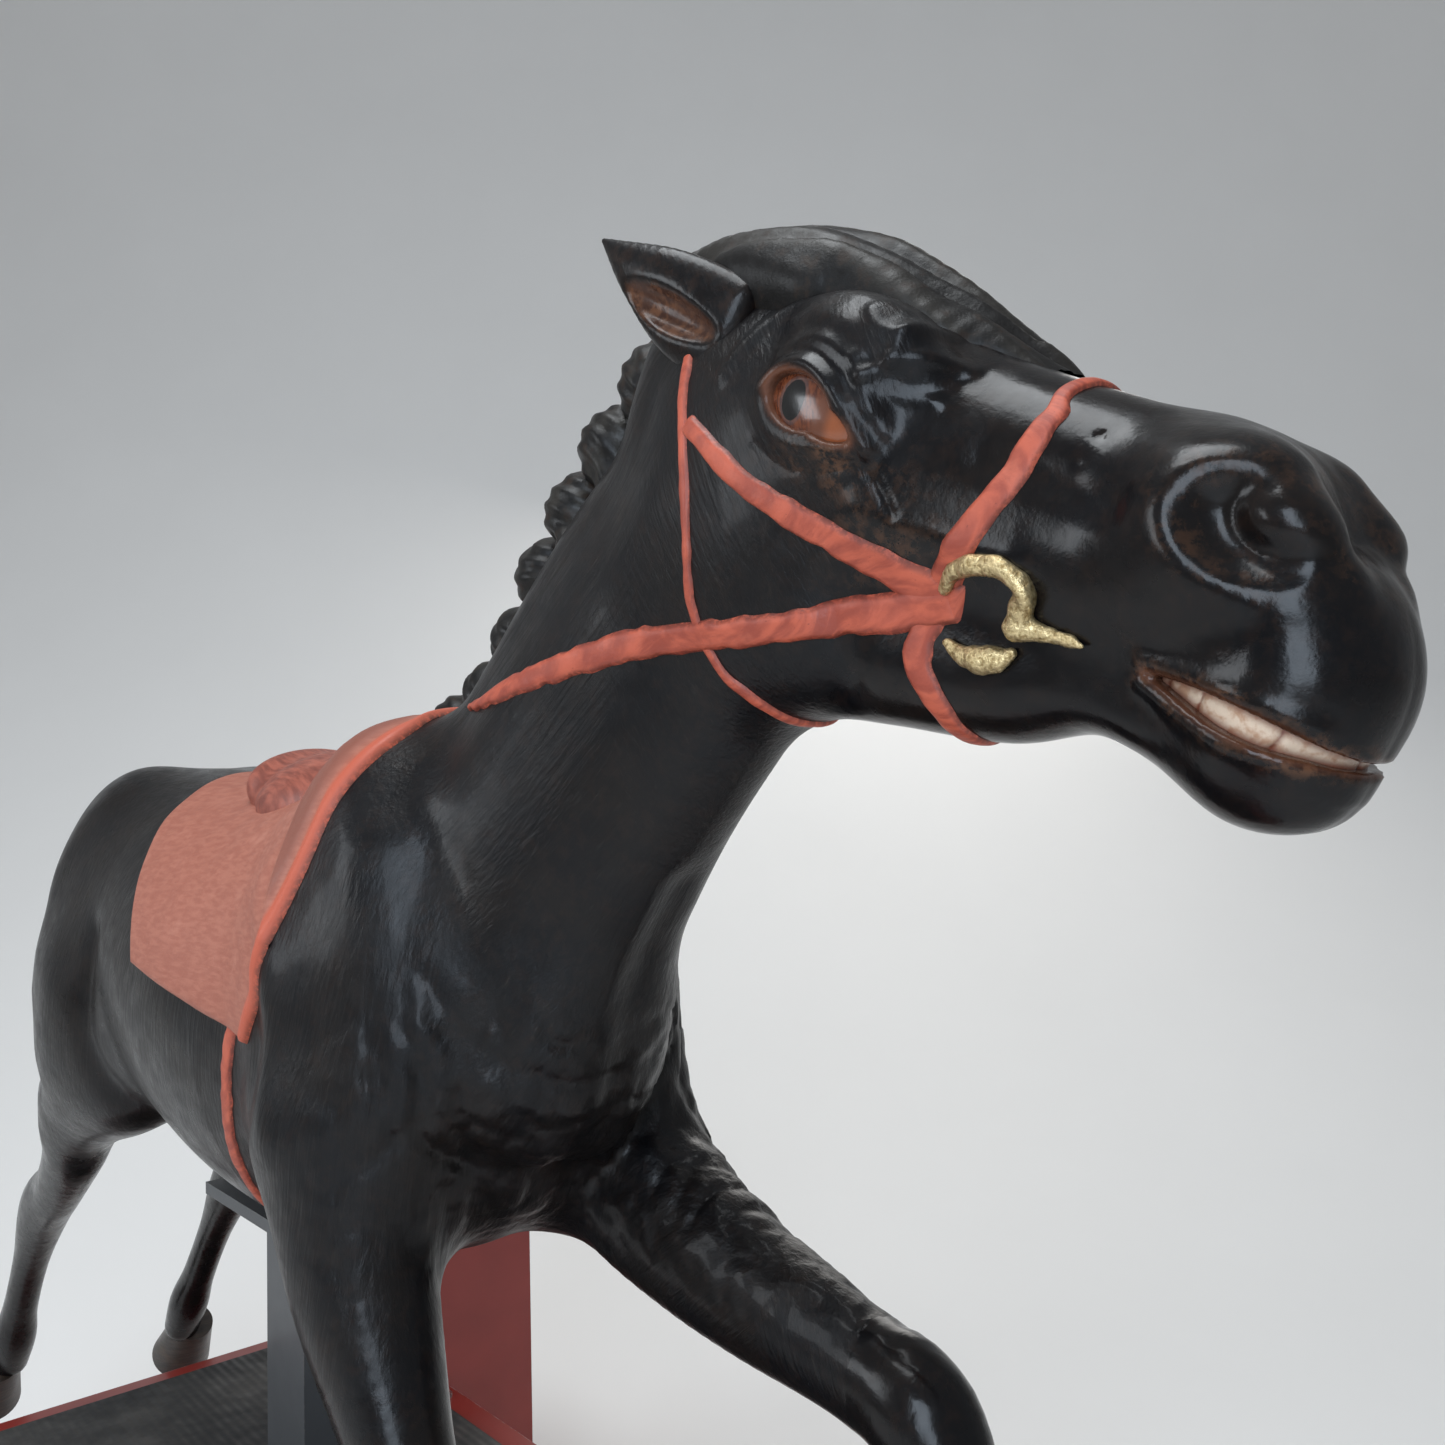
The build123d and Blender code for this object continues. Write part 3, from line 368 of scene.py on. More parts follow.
# muscles and folds of the body, seen from the side: (height, width, line of (x, z))
BODY_LINES = [
    (.0026, .0180, [(.225, .615), (.262, .575), (.290, .520), (.298, .460)]),
    (-.0018, .0120, [(.268, .600), (.304, .560), (.322, .500)]),
    (-.0022, .0110, [(.140, .400), (.178, .430), (.196, .480), (.190, .530)]),
    (.0030, .0160, [(.190, .560), (.215, .500), (.222, .440)]),
    (-.0016, .0140, [(.455, .665), (.405, .612), (.355, .550), (.318, .500)]),
    (.0025, .0180, [(.440, .715), (.380, .675), (.315, .625), (.260, .575)]),
    (-.0014, .0110, [(.430, .760), (.380, .722), (.325, .680), (.285, .640)]),
    (-.0035, .0120, [(-.098, .510), (-.112, .450), (-.104, .400)]),
    (-.0030, .0100, [(-.215, .400), (-.245, .405), (-.280, .440)]),
    (.0030, .0200, [(-.180, .600), (-.215, .540), (-.225, .470)])]
# folds across the chest, seen from the front: (height, width, line of (y, z))
CHEST_LINES = [
    (-.0045, .0100, [(.000, .560), (.002, .480), (.000, .410)]),
    (-.0028, .0050, [(-.030, .400), (-.052, .440), (-.066, .490)]),
    (-.0028, .0050, [(.030, .400), (.050, .440), (.062, .490)]),
    (-.0014, .0032, [(-.075, .520), (-.058, .488), (-.030, .470), (.000, .468)]),
    (-.0012, .0030, [(-.080, .480), (-.060, .455), (-.036, .440), (-.010, .438)]),
    (.0016, .0034, [(-.078, .500), (-.058, .470), (-.032, .455), (-.004, .452)]),
    (-.0016, .0030, [(-.070, .440), (-.050, .425), (-.024, .418)]),
    (-.0016, .0030, [(.010, .455), (.034, .450), (.058, .462)])]


def torso_field(P):
    """The trunk with the masses of its haunches and shoulders."""
    d = profile(P, TORSO_AT, TORSO_DIR, TORSO)
    M = mirrored(P)
    add(d, M, (-.205, .050, .495), (.095, .055, .125), .05)     # haunch
    add(d, M, (-.160, .074, .440), (.066, .042, .076), .045)    # stifle
    add(d, M, (.218, .055, .500), (.056, .047, .130), .05)      # shoulder blade
    add(d, M, (.240, .052, .468), (.054, .050, .058), .014)     # point of the shoulder
    return d


def limb_rows():
    """The rows of the four legs."""
    left = [(x + HIND_LEFT_FORWARD / (1 if z < .44 else 2), y, z, *more) for x, y, z, *more in HIND]
    right = [(x, -y, z, *more) for x, y, z, *more in HIND]
    return FORE_LEFT, FORE_RIGHT, left, right


def eye_ring(s, n):
    """About the distance from the edge of the eye's opening, seen from the side."""
    lean = math.radians(EYE_TURN)
    a, b = s - EYE_S, n - EYE_N
    a, b = a * math.cos(lean) - b * math.sin(lean), a * math.sin(lean) + b * math.cos(lean)
    ball_part = (np.hypot((a + .0015) / .0166, (b - .0005) / .0095) - 1) * .0095
    corner_part = (np.hypot((a - .0140) / .0120, (b + .0035) / .0048) - 1) * .0048
    return np.minimum(ball_part, corner_part)


def nostril_ring(s, n):
    """About the distance from the nostril's rim, seen from the side."""
    return (np.hypot((s - NOSTRIL_S) / .0225, (n - NOSTRIL_N) / .0165) - 1) * .0165


def mouth_gap(s, n):
    """Below zero in the gap between the lips, which is widest half-way to the front."""
    share = np.clip((s - MOUTH_S) / MOUTH_LONG, 0, 1)
    open_half = .0004 + MOUTH_OPEN * np.sin(share * math.pi * .93)
    return np.maximum(np.abs(n - MOUTH_N) - open_half, MOUTH_S - s)


def bare_head(P):
    """The head's masses, without its mouth, eyes and nostrils."""
    d = profile(P, HEAD_AT, HEAD_DIR, SKULL)
    d = smin(d, profile(P, HEAD_AT, HEAD_DIR, JAW), .022)
    M = mirrored(P)
    add(d, M, head_point(.055, -.045, .012), (.060, .030, .054), .020, SLOPE)      # cheek
    add(d, M, head_point(.228, .021, .019), (.030, .017, .023), .020, SLOPE)       # nostril flare
    add(d, M, head_point(.263, -.013, .005), (.023, .022, .026), .018, SLOPE)      # upper lip
    add(d, M, head_point(.260, -.0355, .002), (.026, .0155, .018), .014, SLOPE)    # chin and lower lip
    add(d, M, head_point(.082, .036, .032), (.036, .016, .016), .012, SLOPE)       # brow
    add(d, M, head_point(.080, .012, .034), (.032, .018, .023), .010, SLOPE)       # eye mound
    return d


def head_detail(d, P):
    """Cuts the eye sockets, nostrils and mouth, and raises the lids, lips and veins."""
    s, n = head_axes(P)
    sel = (s > .02) & (s < .32) & (d < .04)
    if not sel.any():
        return d
    Q = mirrored(P[sel])
    q, s, n = d[sel], s[sel], n[sel]
    slant = turn(pitch=HEAD_TILT + EYE_TURN)
    dig(q, Q, head_point(EYE_S - .0015, EYE_N + .0005, .066), (.0195, .0300, .0112), .0012, slant)
    dig(q, Q, head_point(EYE_S + .0140, EYE_N - .0035, .063), (.0150, .0240, .0064), .0012, slant)
    flare = turn(yaw=-14, pitch=HEAD_TILT + 6)
    dig(q, Q, head_point(NOSTRIL_S + .001, NOSTRIL_N, .046), (.0270, .0200, .0185), .0060, flare)
    add(q, Q, head_point(NOSTRIL_S + .004, NOSTRIL_N + .002, .022), (.0130, .0110, .0090), .0060, flare)
    q = smax(q, -mouth_gap(s, n), .0018)
    side = ramp(Q[:, 1], .006, .018)
    relief = .0020 * bump(nostril_ring(s, n) - .0030, .0075)
    for height, width, line in FACE_LINES:
        relief += height * bump(near_line(s, n, line), width)
    d[sel] = q - relief * side
    return d


def body_detail(d, P):
    """Raises the muscles and presses in the folds of the body."""
    sel = (np.abs(d) < .03) & (P[:, 2] > .30)
    if not sel.any():
        return d
    Q = P[sel]
    side = ramp(np.abs(Q[:, 1]), .018, .045)
    relief = np.zeros(len(Q))
    for height, width, line in BODY_LINES:
        relief += side * height * bump(near_line(Q[:, 0], Q[:, 2], line), width)
    front = ramp(Q[:, 0], .255, .295) * ramp(Q[:, 2], .36, .40)
    for height, width, line in CHEST_LINES:
        relief += front * height * bump(near_line(Q[:, 1], Q[:, 2], line), width)
    leather = ramp(Q[:, 0], .22, .30) * ramp(.53 - Q[:, 2], 0, .06) * ramp(Q[:, 2], .34, .40)
    relief -= .0021 * leather * (1 - ramp(creases(Q, (.015, .015, .034), 3), 0, .35))
    relief -= .0012 * leather * (1 - ramp(creases(Q, (.008, .008, .013), 6), 0, .45))
    relief += .0012 * (noise(Q, (.05, .04, .05), 8) - .5)
    d[sel] -= relief
    return d


def horse_field(P):
    """The whole horse without hair, ears, eyes, teeth and tack."""
    d = smin(torso_field(P), profile(P, NECK_AT, NECK_DIR, NECK), .05)
    for rows in limb_rows():
        d = smin(d, tube(P, rows, per=8), .03)
    d = smin(d, bare_head(P), .03)
    return head_detail(body_detail(d, P), P)


def gradient(P):
    """Unit normals of the horse's field at the points, and its slope there."""
    step = .0008
    G = np.zeros_like(P)
    for axis in range(3):
        shift = np.zeros(3)
        shift[axis] = step
        G[:, axis] = (evaluate(horse_field, P + shift) - evaluate(horse_field, P - shift)) / (2 * step)
    size = np.maximum(np.linalg.norm(G, axis=1), 1e-6)
    return G / size[:, None], size


def project(P, rounds=5):
    """The nearest points on the horse's surface, about, and the normals there."""
    P = np.array(P, float)
    for _ in range(rounds):
        N, size = gradient(P)
        step = np.clip(evaluate(horse_field, P) / np.maximum(size, .3), -.02, .02)
        P = P - N * step[:, None]
    return P, gradient(P)[0]


# ---- materials -----------------------------------------------------------------------------------
class Paint:
    """A material whose nodes are wired by short calls. Coordinates are the piece's own, in metres."""

    def __init__(self, name, rough=0.5, metallic=0.0, coat=0.0, coat_rough=0.1, specular=0.5):
        self.mat = bpy.data.materials.new(name)
        self.mat.use_nodes = True
        self.tree = self.mat.node_tree
        self.bsdf = self.tree.nodes["Principled BSDF"]
        self.bsdf.inputs["Roughness"].default_value = rough
        self.bsdf.inputs["Metallic"].default_value = metallic
        self.bsdf.inputs["Coat Weight"].default_value = coat
        self.bsdf.inputs["Coat Roughness"].default_value = coat_rough
        self.bsdf.inputs["Specular IOR Level"].default_value = specular
        self.place = self.tree.nodes.new("ShaderNodeTexCoord").outputs["Object"]
        self.height = None

    def plug(self, socket, value):
        """Links an output, or sets a number or colour."""
        if isinstance(value, bpy.types.NodeSocket):
            self.tree.links.new(value, socket)
        elif isinstance(value, tuple) and len(value) == 3 and socket.type == "RGBA":
            socket.default_value = (*value, 1)
        else:
            socket.default_value = value

    def mapped(self, scale, turned=(0, 0, 0)):
        """The coordinates turned, then scaled."""
        first = self.tree.nodes.new("ShaderNodeMapping")
        first.inputs["Rotation"].default_value = [math.radians(v) for v in turned]
        self.plug(first.inputs["Vector"], self.place)
        second = self.tree.nodes.new("ShaderNodeMapping")
        second.inputs["Scale"].default_value = scale
        self.plug(second.inputs["Vector"], first.outputs[0])
        return second.outputs[0]

    def noise(self, scale, detail=3.0, turned=(0, 0, 0), distort=0.0, rough=0.55):
        """Noise with cells about 1/scale metres across; scale is a number or three."""
        node = self.tree.nodes.new("ShaderNodeTexNoise")
        node.inputs["Scale"].default_value = 1.0
        node.inputs["Detail"].default_value = detail
        node.inputs["Roughness"].default_value = rough
        node.inputs["Distortion"].default_value = distort
        scale = scale if isinstance(scale, tuple) else (scale,) * 3
        self.plug(node.inputs["Vector"], self.mapped(scale, turned))
        return node.outputs["Fac"]

    def cells(self, scale):
        """Voronoi distance, with cells about 1/scale metres across."""
        node = self.tree.nodes.new("ShaderNodeTexVoronoi")
        node.inputs["Scale"].default_value = 1.0
        self.plug(node.inputs["Vector"], self.mapped((scale,) * 3))
        return node.outputs["Distance"]

    def attribute(self, name):
        """A number kept on the mesh's points."""
        node = self.tree.nodes.new("ShaderNodeAttribute")
        node.attribute_name = name
        return node.outputs["Fac"]

    def span(self, value, low, high, to_low=0.0, to_high=1.0):
        """Maps low..high to to_low..to_high, held at the ends."""
        node = self.tree.nodes.new("ShaderNodeMapRange")
        node.interpolation_type = "SMOOTHSTEP"
        for socket, number in zip(node.inputs[:5], (value, low, high, to_low, to_high)):
            self.plug(socket, number)
        return node.outputs[0]

    def math(self, kind, a, b=0.0):
        """One arithmetic step."""
        node = self.tree.nodes.new("ShaderNodeMath")
        node.operation = kind
        self.plug(node.inputs[0], a)
        self.plug(node.inputs[1], b)
        return node.outputs[0]

    def mix(self, share, a, b):
        """Colour a where share is 0, b where it is 1."""
        node = self.tree.nodes.new("ShaderNodeMix")
        node.data_type = "RGBA"
        self.plug(node.inputs["Factor"], share)
        self.plug(node.inputs["A"], a)
        self.plug(node.inputs["B"], b)
        return node.outputs["Result"]

    def edges(self, radius=0.0012):
        """About 1 on edges and 0 on flats, from bevelled normals."""
        bevel = self.tree.nodes.new("ShaderNodeBevel")
        bevel.inputs["Radius"].default_value = radius
        geometry = self.tree.nodes.new("ShaderNodeNewGeometry")
        dot = self.tree.nodes.new("ShaderNodeVectorMath")
        dot.operation = "DOT_PRODUCT"
        self.plug(dot.inputs[0], bevel.outputs[0])
        self.plug(dot.inputs[1], geometry.outputs["Normal"])
        return self.span(dot.outputs["Value"], .995, .93)

    def raise_by(self, value, metres):
        """Adds to the bumps: value from 0 to 1 stands for a height in metres."""
        step = self.math("MULTIPLY", value, metres)
        self.height = step if self.height is None else self.math("ADD", self.height, step)

    def finish(self, colour=None, rough=None):
        """Wires colour, roughness and bumps to the shader."""
        if colour is not None:
            self.plug(self.bsdf.inputs["Base Color"], colour)
        if rough is not None:
            self.plug(self.bsdf.inputs["Roughness"], rough)
        if self.height is not None:
            node = self.tree.nodes.new("ShaderNodeBump")
            node.inputs["Distance"].default_value = 1.0
            self.plug(node.inputs["Height"], self.height)
            self.plug(self.bsdf.inputs["Normal"], node.outputs[0])
        return self.mat


def scaled(colour, factor):
    """The colour, darker or lighter by a factor."""
    return tuple(c * factor for c in colour)


def enamel(name, colour, chip, rough=0.3):
    """Sprayed enamel on steel: fine orange peel, dust in broad patches, and worn edges."""
    p = Paint(name, coat=0.3, coat_rough=0.15)
    patches = p.noise(9.0, 4)
    shade = p.mix(p.span(patches, .35, .70), colour, scaled(colour, .78))
    worn = p.math("MULTIPLY", p.edges(), p.span(p.noise(160.0, 3), .45, .60))
    p.raise_by(p.noise(700.0, 2), .00006)
    p.raise_by(p.noise(60.0, 2), .00010)
    return p.finish(p.mix(worn, shade, chip), p.span(patches, .3, .7, rough, rough + .14))


def brushed(name, colour):
    """Bare steel, brushed along X."""
    p = Paint(name, metallic=1.0)
    streaks = p.noise((6.0, 900.0, 900.0), 3)
    p.raise_by(streaks, .00003)
    shade = p.mix(p.span(p.noise(30.0, 3), .40, .70), colour, scaled(colour, .6))
    return p.finish(shade, p.span(streaks, .3, .7, .24, .44))


def castings(name, colour):
    """Sand-cast iron under thin paint."""
    p = Paint(name, metallic=.6, rough=.55)
    grain = p.noise(420.0, 4)
    p.raise_by(grain, .00022)
    shade = p.mix(p.span(p.noise(45.0, 4), .42, .62), colour, scaled(colour, 1.7))
    bright = p.mix(p.edges(.0015), shade, (.34, .33, .32))
    return p.finish(bright, p.span(grain, .3, .7, .42, .68))


def moulded(name, colour, rough=0.45, grain=900.0):
    """Moulded plastic or rubber with a fine grain."""
    p = Paint(name)
    texture = p.cells(grain)
    p.raise_by(texture, .00007)
    dust = p.span(p.noise(24.0, 4), .52, .75)
    shade = p.mix(dust, colour, tuple(c * .8 + .025 for c in colour))
    return p.finish(shade, p.span(texture, 0, .8, rough - .08, rough + .10))


def ribbed_rubber(name):
    """Black rubber with ribs along X and a dusty bloom."""
    p = Paint(name, rough=.75)
    wave = p.tree.nodes.new("ShaderNodeTexWave")
    wave.bands_direction = "Y"
    wave.inputs["Scale"].default_value = 1.0
    p.plug(wave.inputs["Vector"], p.mapped((40.0, 40.0, 40.0)))
    p.raise_by(wave.outputs["Fac"], .0006)
    p.raise_by(p.noise(900.0, 2), .00008)
    shade = p.mix(p.span(p.noise(14.0, 5), .45, .72), (.018, .018, .018), (.055, .052, .048))
    return p.finish(shade, p.span(p.noise(60.0, 3), .3, .7, .62, .85))


CRAWL = (0, math.degrees(math.atan2(NECK_DIR[1], NECK_DIR[0])), 0)      # turns X along the neck


def horse_black():
    """Black gloss paint over sculpted clay: brushed hair strokes, brown rubbed into the recesses."""
    p = Paint("horse_black", coat=.10, coat_rough=.12, specular=.20)
    neck_hair = p.noise((14.0, 330.0, 330.0), 4, turned=CRAWL, distort=.35)
    side_hair = p.noise((330.0, 330.0, 16.0), 4, turned=(0, -14, 0), distort=.35)
    face_hair = p.noise((20.0, 420.0, 420.0), 4, turned=(0, -HEAD_TILT - 40, 0), distort=.4)
    strokes = p.mix(p.attribute("down"), neck_hair, side_hair)
    strokes = p.mix(p.attribute("face"), strokes, face_hair)
    hair = p.attribute("hair")
    p.raise_by(p.math("MULTIPLY", strokes, hair), .00085)
    dimples = p.noise(150.0, 3)
    p.raise_by(dimples, .00022)
    p.raise_by(p.noise(900.0, 2), .00004)
    brown = p.mix(p.span(p.noise(90.0, 4), .40, .62), (.0300, .0150, .0085), (.115, .052, .026))
    mottled = p.math("MULTIPLY", p.attribute("brown"), p.span(p.noise(210.0, 5, rough=.7), .42, .60))
    cool = p.mix(p.span(p.noise(22.0, 3), .35, .70), (.0026, .0026, .0034), (.0062, .0048, .0044))
    rubbed = p.mix(p.math("MULTIPLY", hair, p.span(strokes, .60, .80)), cool, (.0170, .0150, .0130))
    shade = p.mix(mottled, rubbed, brown)
    shade = p.mix(p.attribute("rim"), shade, (.120, .045, .024))
    rough = p.math("ADD", p.span(p.noise(70.0, 4), .3, .7, .17, .30), p.math("MULTIPLY", hair, .24))
    return p.finish(shade, rough)


def hair_paint():
    """The same paint, matter, on the mane, forelock and tail, with painted shade in the grooves between
    strands.
    """
    p = Paint("hair_paint", coat=.05, coat_rough=.3, specular=.22)
    strands = p.attribute("strand_tone_and_groove_shade")
    grime = p.noise(120.0, 4)
    p.raise_by(p.noise(700.0, 3), .00016)
    # darker between the strands: on the forelock and tail this is painted shade in the grooves the same
    # pattern cuts, on the mane a random tone
    shade = p.mix(p.span(strands, .35, .9), (.0045, .0038, .0035), (.0200, .0172, .0140))
    shade = p.mix(p.span(grime, .52, .68), shade, (.0170, .0100, .0064))
    return p.finish(shade, p.span(grime, .3, .7, .34, .52))


def brushed_colour(name, colour, deep, bright, rough=.5, stroke=(60.0, 500.0, 60.0)):
    """Hand-brushed matt paint: streaks, thin places where the black shows, and scuffs."""
    p = Paint(name, rough=rough)
    streaks = p.noise(stroke, 4, distort=.3)
    blotches = p.noise(48.0, 5)
    p.raise_by(streaks, .00022)
    p.raise_by(p.noise(420.0, 3), .00016)
    p.raise_by(blotches, .00030)
    shade = p.mix(p.span(streaks, .35, .68), deep, colour)
    shade = p.mix(p.span(blotches, .56, .72, 0, .4), shade, bright)
    # darker on the blanket's raised flap: painted shade behind the front roll
    shade = p.mix(p.attribute("flap_and_shade"), shade, scaled(deep, .72))
    shade = p.mix(p.attribute("front"), shade, CORAL)
    thin = p.math("MULTIPLY", p.attribute("edge"), p.span(p.noise(330.0, 4, rough=.7), .36, .56))
    shade = p.mix(thin, shade, scaled(deep, .30))
    specks = p.span(p.noise(800.0, 2), .70, .76, 0, .5)
    return p.finish(p.mix(specks, shade, scaled(deep, .25)),
                    p.span(blotches, .3, .7, rough - .06, rough + .12))


def eye_paint():
    """Glass-like eye: black upright pupil, grey ring, red-brown iris and an orange inner corner."""
    p = Paint("eye_paint", rough=.22, coat=.25, coat_rough=.10)
    place = p.attribute("iris")
    corner = p.attribute("corner")
    fibres = p.noise((900.0, 900.0, 250.0), 3)
    iris = p.mix(p.span(fibres, .35, .65), (.060, .014, .006), (.150, .040, .014))
    shade = p.mix(p.span(place, 1.05, 1.35), iris, (.120, .040, .020))
    shade = p.mix(p.span(corner, .35, .95), shade, (.260, .075, .028))
    ring = p.math("MULTIPLY", p.span(place, .52, .58), p.span(place, .72, .62))
    shade = p.mix(p.math("MULTIPLY", ring, .40), shade, (.060, .062, .066))
    shade = p.mix(p.span(place, .58, .54), shade, (.002, .002, .002))
    p.raise_by(p.noise(300.0, 2), .00006)
    return p.finish(shade)


def tooth_paint():
    """Cream teeth, painted brown as shade where they go under the lips and in the grooves between them."""
    p = Paint("tooth_paint", rough=.28, coat=.4, coat_rough=.1)
    stain = p.noise(260.0, 4)
    shade = p.mix(p.span(stain, .40, .66), (.72, .56, .42), (.50, .30, .19))
    # brown where the teeth go under the lips and in the grooves between them: painted shade
    shade = p.mix(p.attribute("gum_line_and_gap_shade"), shade, (.20, .062, .035))
    p.raise_by(stain, .00020)
    return p.finish(shade, p.span(stain, .3, .7, .22, .40))


def gold_paint():
    """Rough granular gold paint."""
    p = Paint("gold_paint", metallic=.85)
    grain = p.noise(620.0, 4)
    p.raise_by(grain, .00060)
    shade = p.mix(p.span(grain, .25, .62), (.230, .150, .055), (.640, .500, .270))
    shade = p.mix(p.span(p.noise(140.0, 3), .60, .72, 0, .6), shade, (.100, .060, .026))
    return p.finish(shade, p.span(grain, .3, .7, .52, .30))


CORAL, CORAL_DEEP, CORAL_BRIGHT = (.470, .092, .046), (.280, .046, .024), (.540, .140, .078)
SALMON, SALMON_DEEP, SALMON_BRIGHT = (.370, .128, .082), (.310, .096, .060), (.430, .175, .120)
CHIP = (.10, .095, .09)
FINISHES = {
    "rubber": ribbed_rubber("rubber"),
    "frame_enamel": enamel("frame_enamel", (.045, .048, .052), CHIP, .38),
    "cast_iron": castings("cast_iron", (.085, .085, .088)),
    "cabinet_enamel": enamel("cabinet_enamel", (.300, .026, .018), CHIP),
    "deck_steel": enamel("deck_steel", (.260, .024, .017), (.28, .27, .26), .34),
    "steel": brushed("steel", (.52, .52, .53)),
    "black_plastic": moulded("black_plastic", (.016, .016, .017)),
    "grey_plastic": moulded("grey_plastic", (.26, .27, .28)),
    "motor_enamel": enamel("motor_enamel", (.040, .110, .160), CHIP, .4),
    "red_plastic": moulded("red_plastic", (.52, .022, .016), .22, 400.0),
    "horse_black": horse_black(),
    "hoof_brown": brushed_colour("hoof_brown", (.040, .026, .018), (.016, .011, .008), (.080, .050, .030),
                                 .34, (40.0, 40.0, 420.0)),
    "eye_brown": eye_paint(),
    "tooth_ivory": tooth_paint(),
    "tack_terracotta": brushed_colour("tack_terracotta", CORAL, CORAL_DEEP, CORAL_BRIGHT),
    "blanket_salmon": brushed_colour("blanket_salmon", SALMON, SALMON_DEEP, SALMON_BRIGHT, .55,
                                     (90.0, 90.0, 420.0)),
    "saddle_red_brown": brushed_colour("saddle_red_brown", (.330, .088, .054), (.180, .042, .026),
                                       (.450, .150, .100), .48, (60.0, 400.0, 60.0)),
    "bit_gold": gold_paint()}
HAIR = hair_paint()


# ---- making pieces -------------------------------------------------------------------------------
def lattice_faces(rows, columns, closed=False):
    """Quads over a grid of rows by columns of points; closed joins the last row to the first."""
    faces = []
    for i in range(rows if closed else rows - 1):
        j = (i + 1) % rows
        faces += [[i * columns + c, i * columns + c + 1, j * columns + c + 1, j * columns + c]
                  for c in range(columns - 1)]
    return faces


def placed(name, data):
    """A new object in the scene."""
    made = bpy.data.objects.new(name, data)
    bpy.context.collection.objects.link(made)
    return made


def smooth_mesh(name, verts, faces):
    """A smooth-shaded mesh."""
    mesh = bpy.data.meshes.new(name)
    mesh.from_pydata(verts, [], faces)
    mesh.update()
    mesh.polygons.foreach_set("use_smooth", [True] * len(mesh.polygons))
    return mesh


def piece(name, verts, faces, slot, nodes, material=None, body="ride", marks=None):
    """A mesh object from points and faces, with its material (the slot's unless one is given), on its body,
    hiding the nodes it replaces.
    """
    points = np.array(verts, float) + (0, 0, RIDE_Z)
    mesh = smooth_mesh(name, points.tolist(), [list(map(int, f)) for f in faces])
    for mark, values in (marks or {}).items():
        layer = mesh.attributes.new(mark, "FLOAT", "POINT")
        layer.data.foreach_set("value", np.asarray(values, np.float32))
    made = placed(name, mesh)
    mesh.materials.append(material or FINISHES[slot])
    if nodes:
        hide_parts(*nodes)
    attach(made, body)


def joined(parts):
    """Several (verts, faces, marks) as one."""
    verts, faces, marks, start = [], [], {}, 0
    for v, f, m in parts:
        verts.append(np.array(v))
        faces += [[i + start for i in face] for face in f]
        for key, values in m.items():
            marks.setdefault(key, []).append(np.asarray(values))
        start += len(v)
    return np.vstack(verts), faces, {key: np.concatenate(v) for key, v in marks.items()}


def other_side(part):
    """A part's mirror image in the horse's middle plane."""
    verts, faces, marks = part
    return np.array(verts) * (1, -1, 1), [list(f)[::-1] for f in faces], marks


NO_BEVEL = {"bit_rings", "ears", "eyes", "forelock", "mane", "tail", "teeth", "saddle", "saddle_blanket"}


def carried_over():
    """Every CAD node gets a material from its slot and, unless it is in NO_BEVEL, softened edges."""
    for row in frame["record"]["subparts"]:
        node = frame["nodes"][row["node"]]
        node.data.materials.clear()
        node.data.materials.append(FINISHES[row["material_slot"]])
        if row["node"] not in NO_BEVEL:
            bevel = node.modifiers.new("soft_edges", "BEVEL")
            bevel.width = 0.0008
            bevel.segments = 2
            bevel.limit_method = "ANGLE"
            bevel.angle_limit = math.radians(40)


# ---- the sculpted horse --------------------------------------------------------------------------
def horse_marks(V):
    """Where the paint is hairy, brown, or brushed downwards or along the face."""
    s, n = head_axes(V)
    head = ramp(s, -.02, .03) * (V[:, 0] > .40)
    below = ramp(.64 - V[:, 2], 0, .10)
    down = below * ramp(.31 - V[:, 0], -.03, .05)
    gloss = np.maximum(ramp(s, .095, .125), bump(np.hypot(s - .075, n - .030), .030)) * (V[:, 0] > .45)
    hair = np.clip((1 - gloss) * (.55 + .45 * noise(V, .07, 2)), 0, 1)
    hair *= np.where(V[:, 0] < .10, .5, 1.0)
    legs = ramp(.36 - V[:, 2], 0, .05)
    hair *= 1 - .8 * legs
    on_head = V[:, 0] > .46
    eye = .6 * bump(np.hypot((s - EYE_S - .018) / 1.6, n - EYE_N + .013), .011) * on_head
    cheek = .35 * bump(np.hypot(s - .125, n + .022), .020) * on_head
    mouth = bump(mouth_gap(s, n), .0035) * (s > .21) * (s < .30) * on_head
    nostril = .2 * bump(nostril_ring(s, n), .006) * on_head
    brown = np.clip(eye + cheek + mouth + nostril + .04, 0, 1)
    rim = bump(np.minimum(eye_ring(s, n), .03), .0011) * (eye_ring(s, n) > -.004) * on_head
    lips = .6 * bump(mouth_gap(s, n), .0013) * (s > .22) * (s < .29) * on_head
    return {"hair": hair, "brown": brown, "down": down, "face": head, "rim": np.clip(rim + lips, 0, 1)}


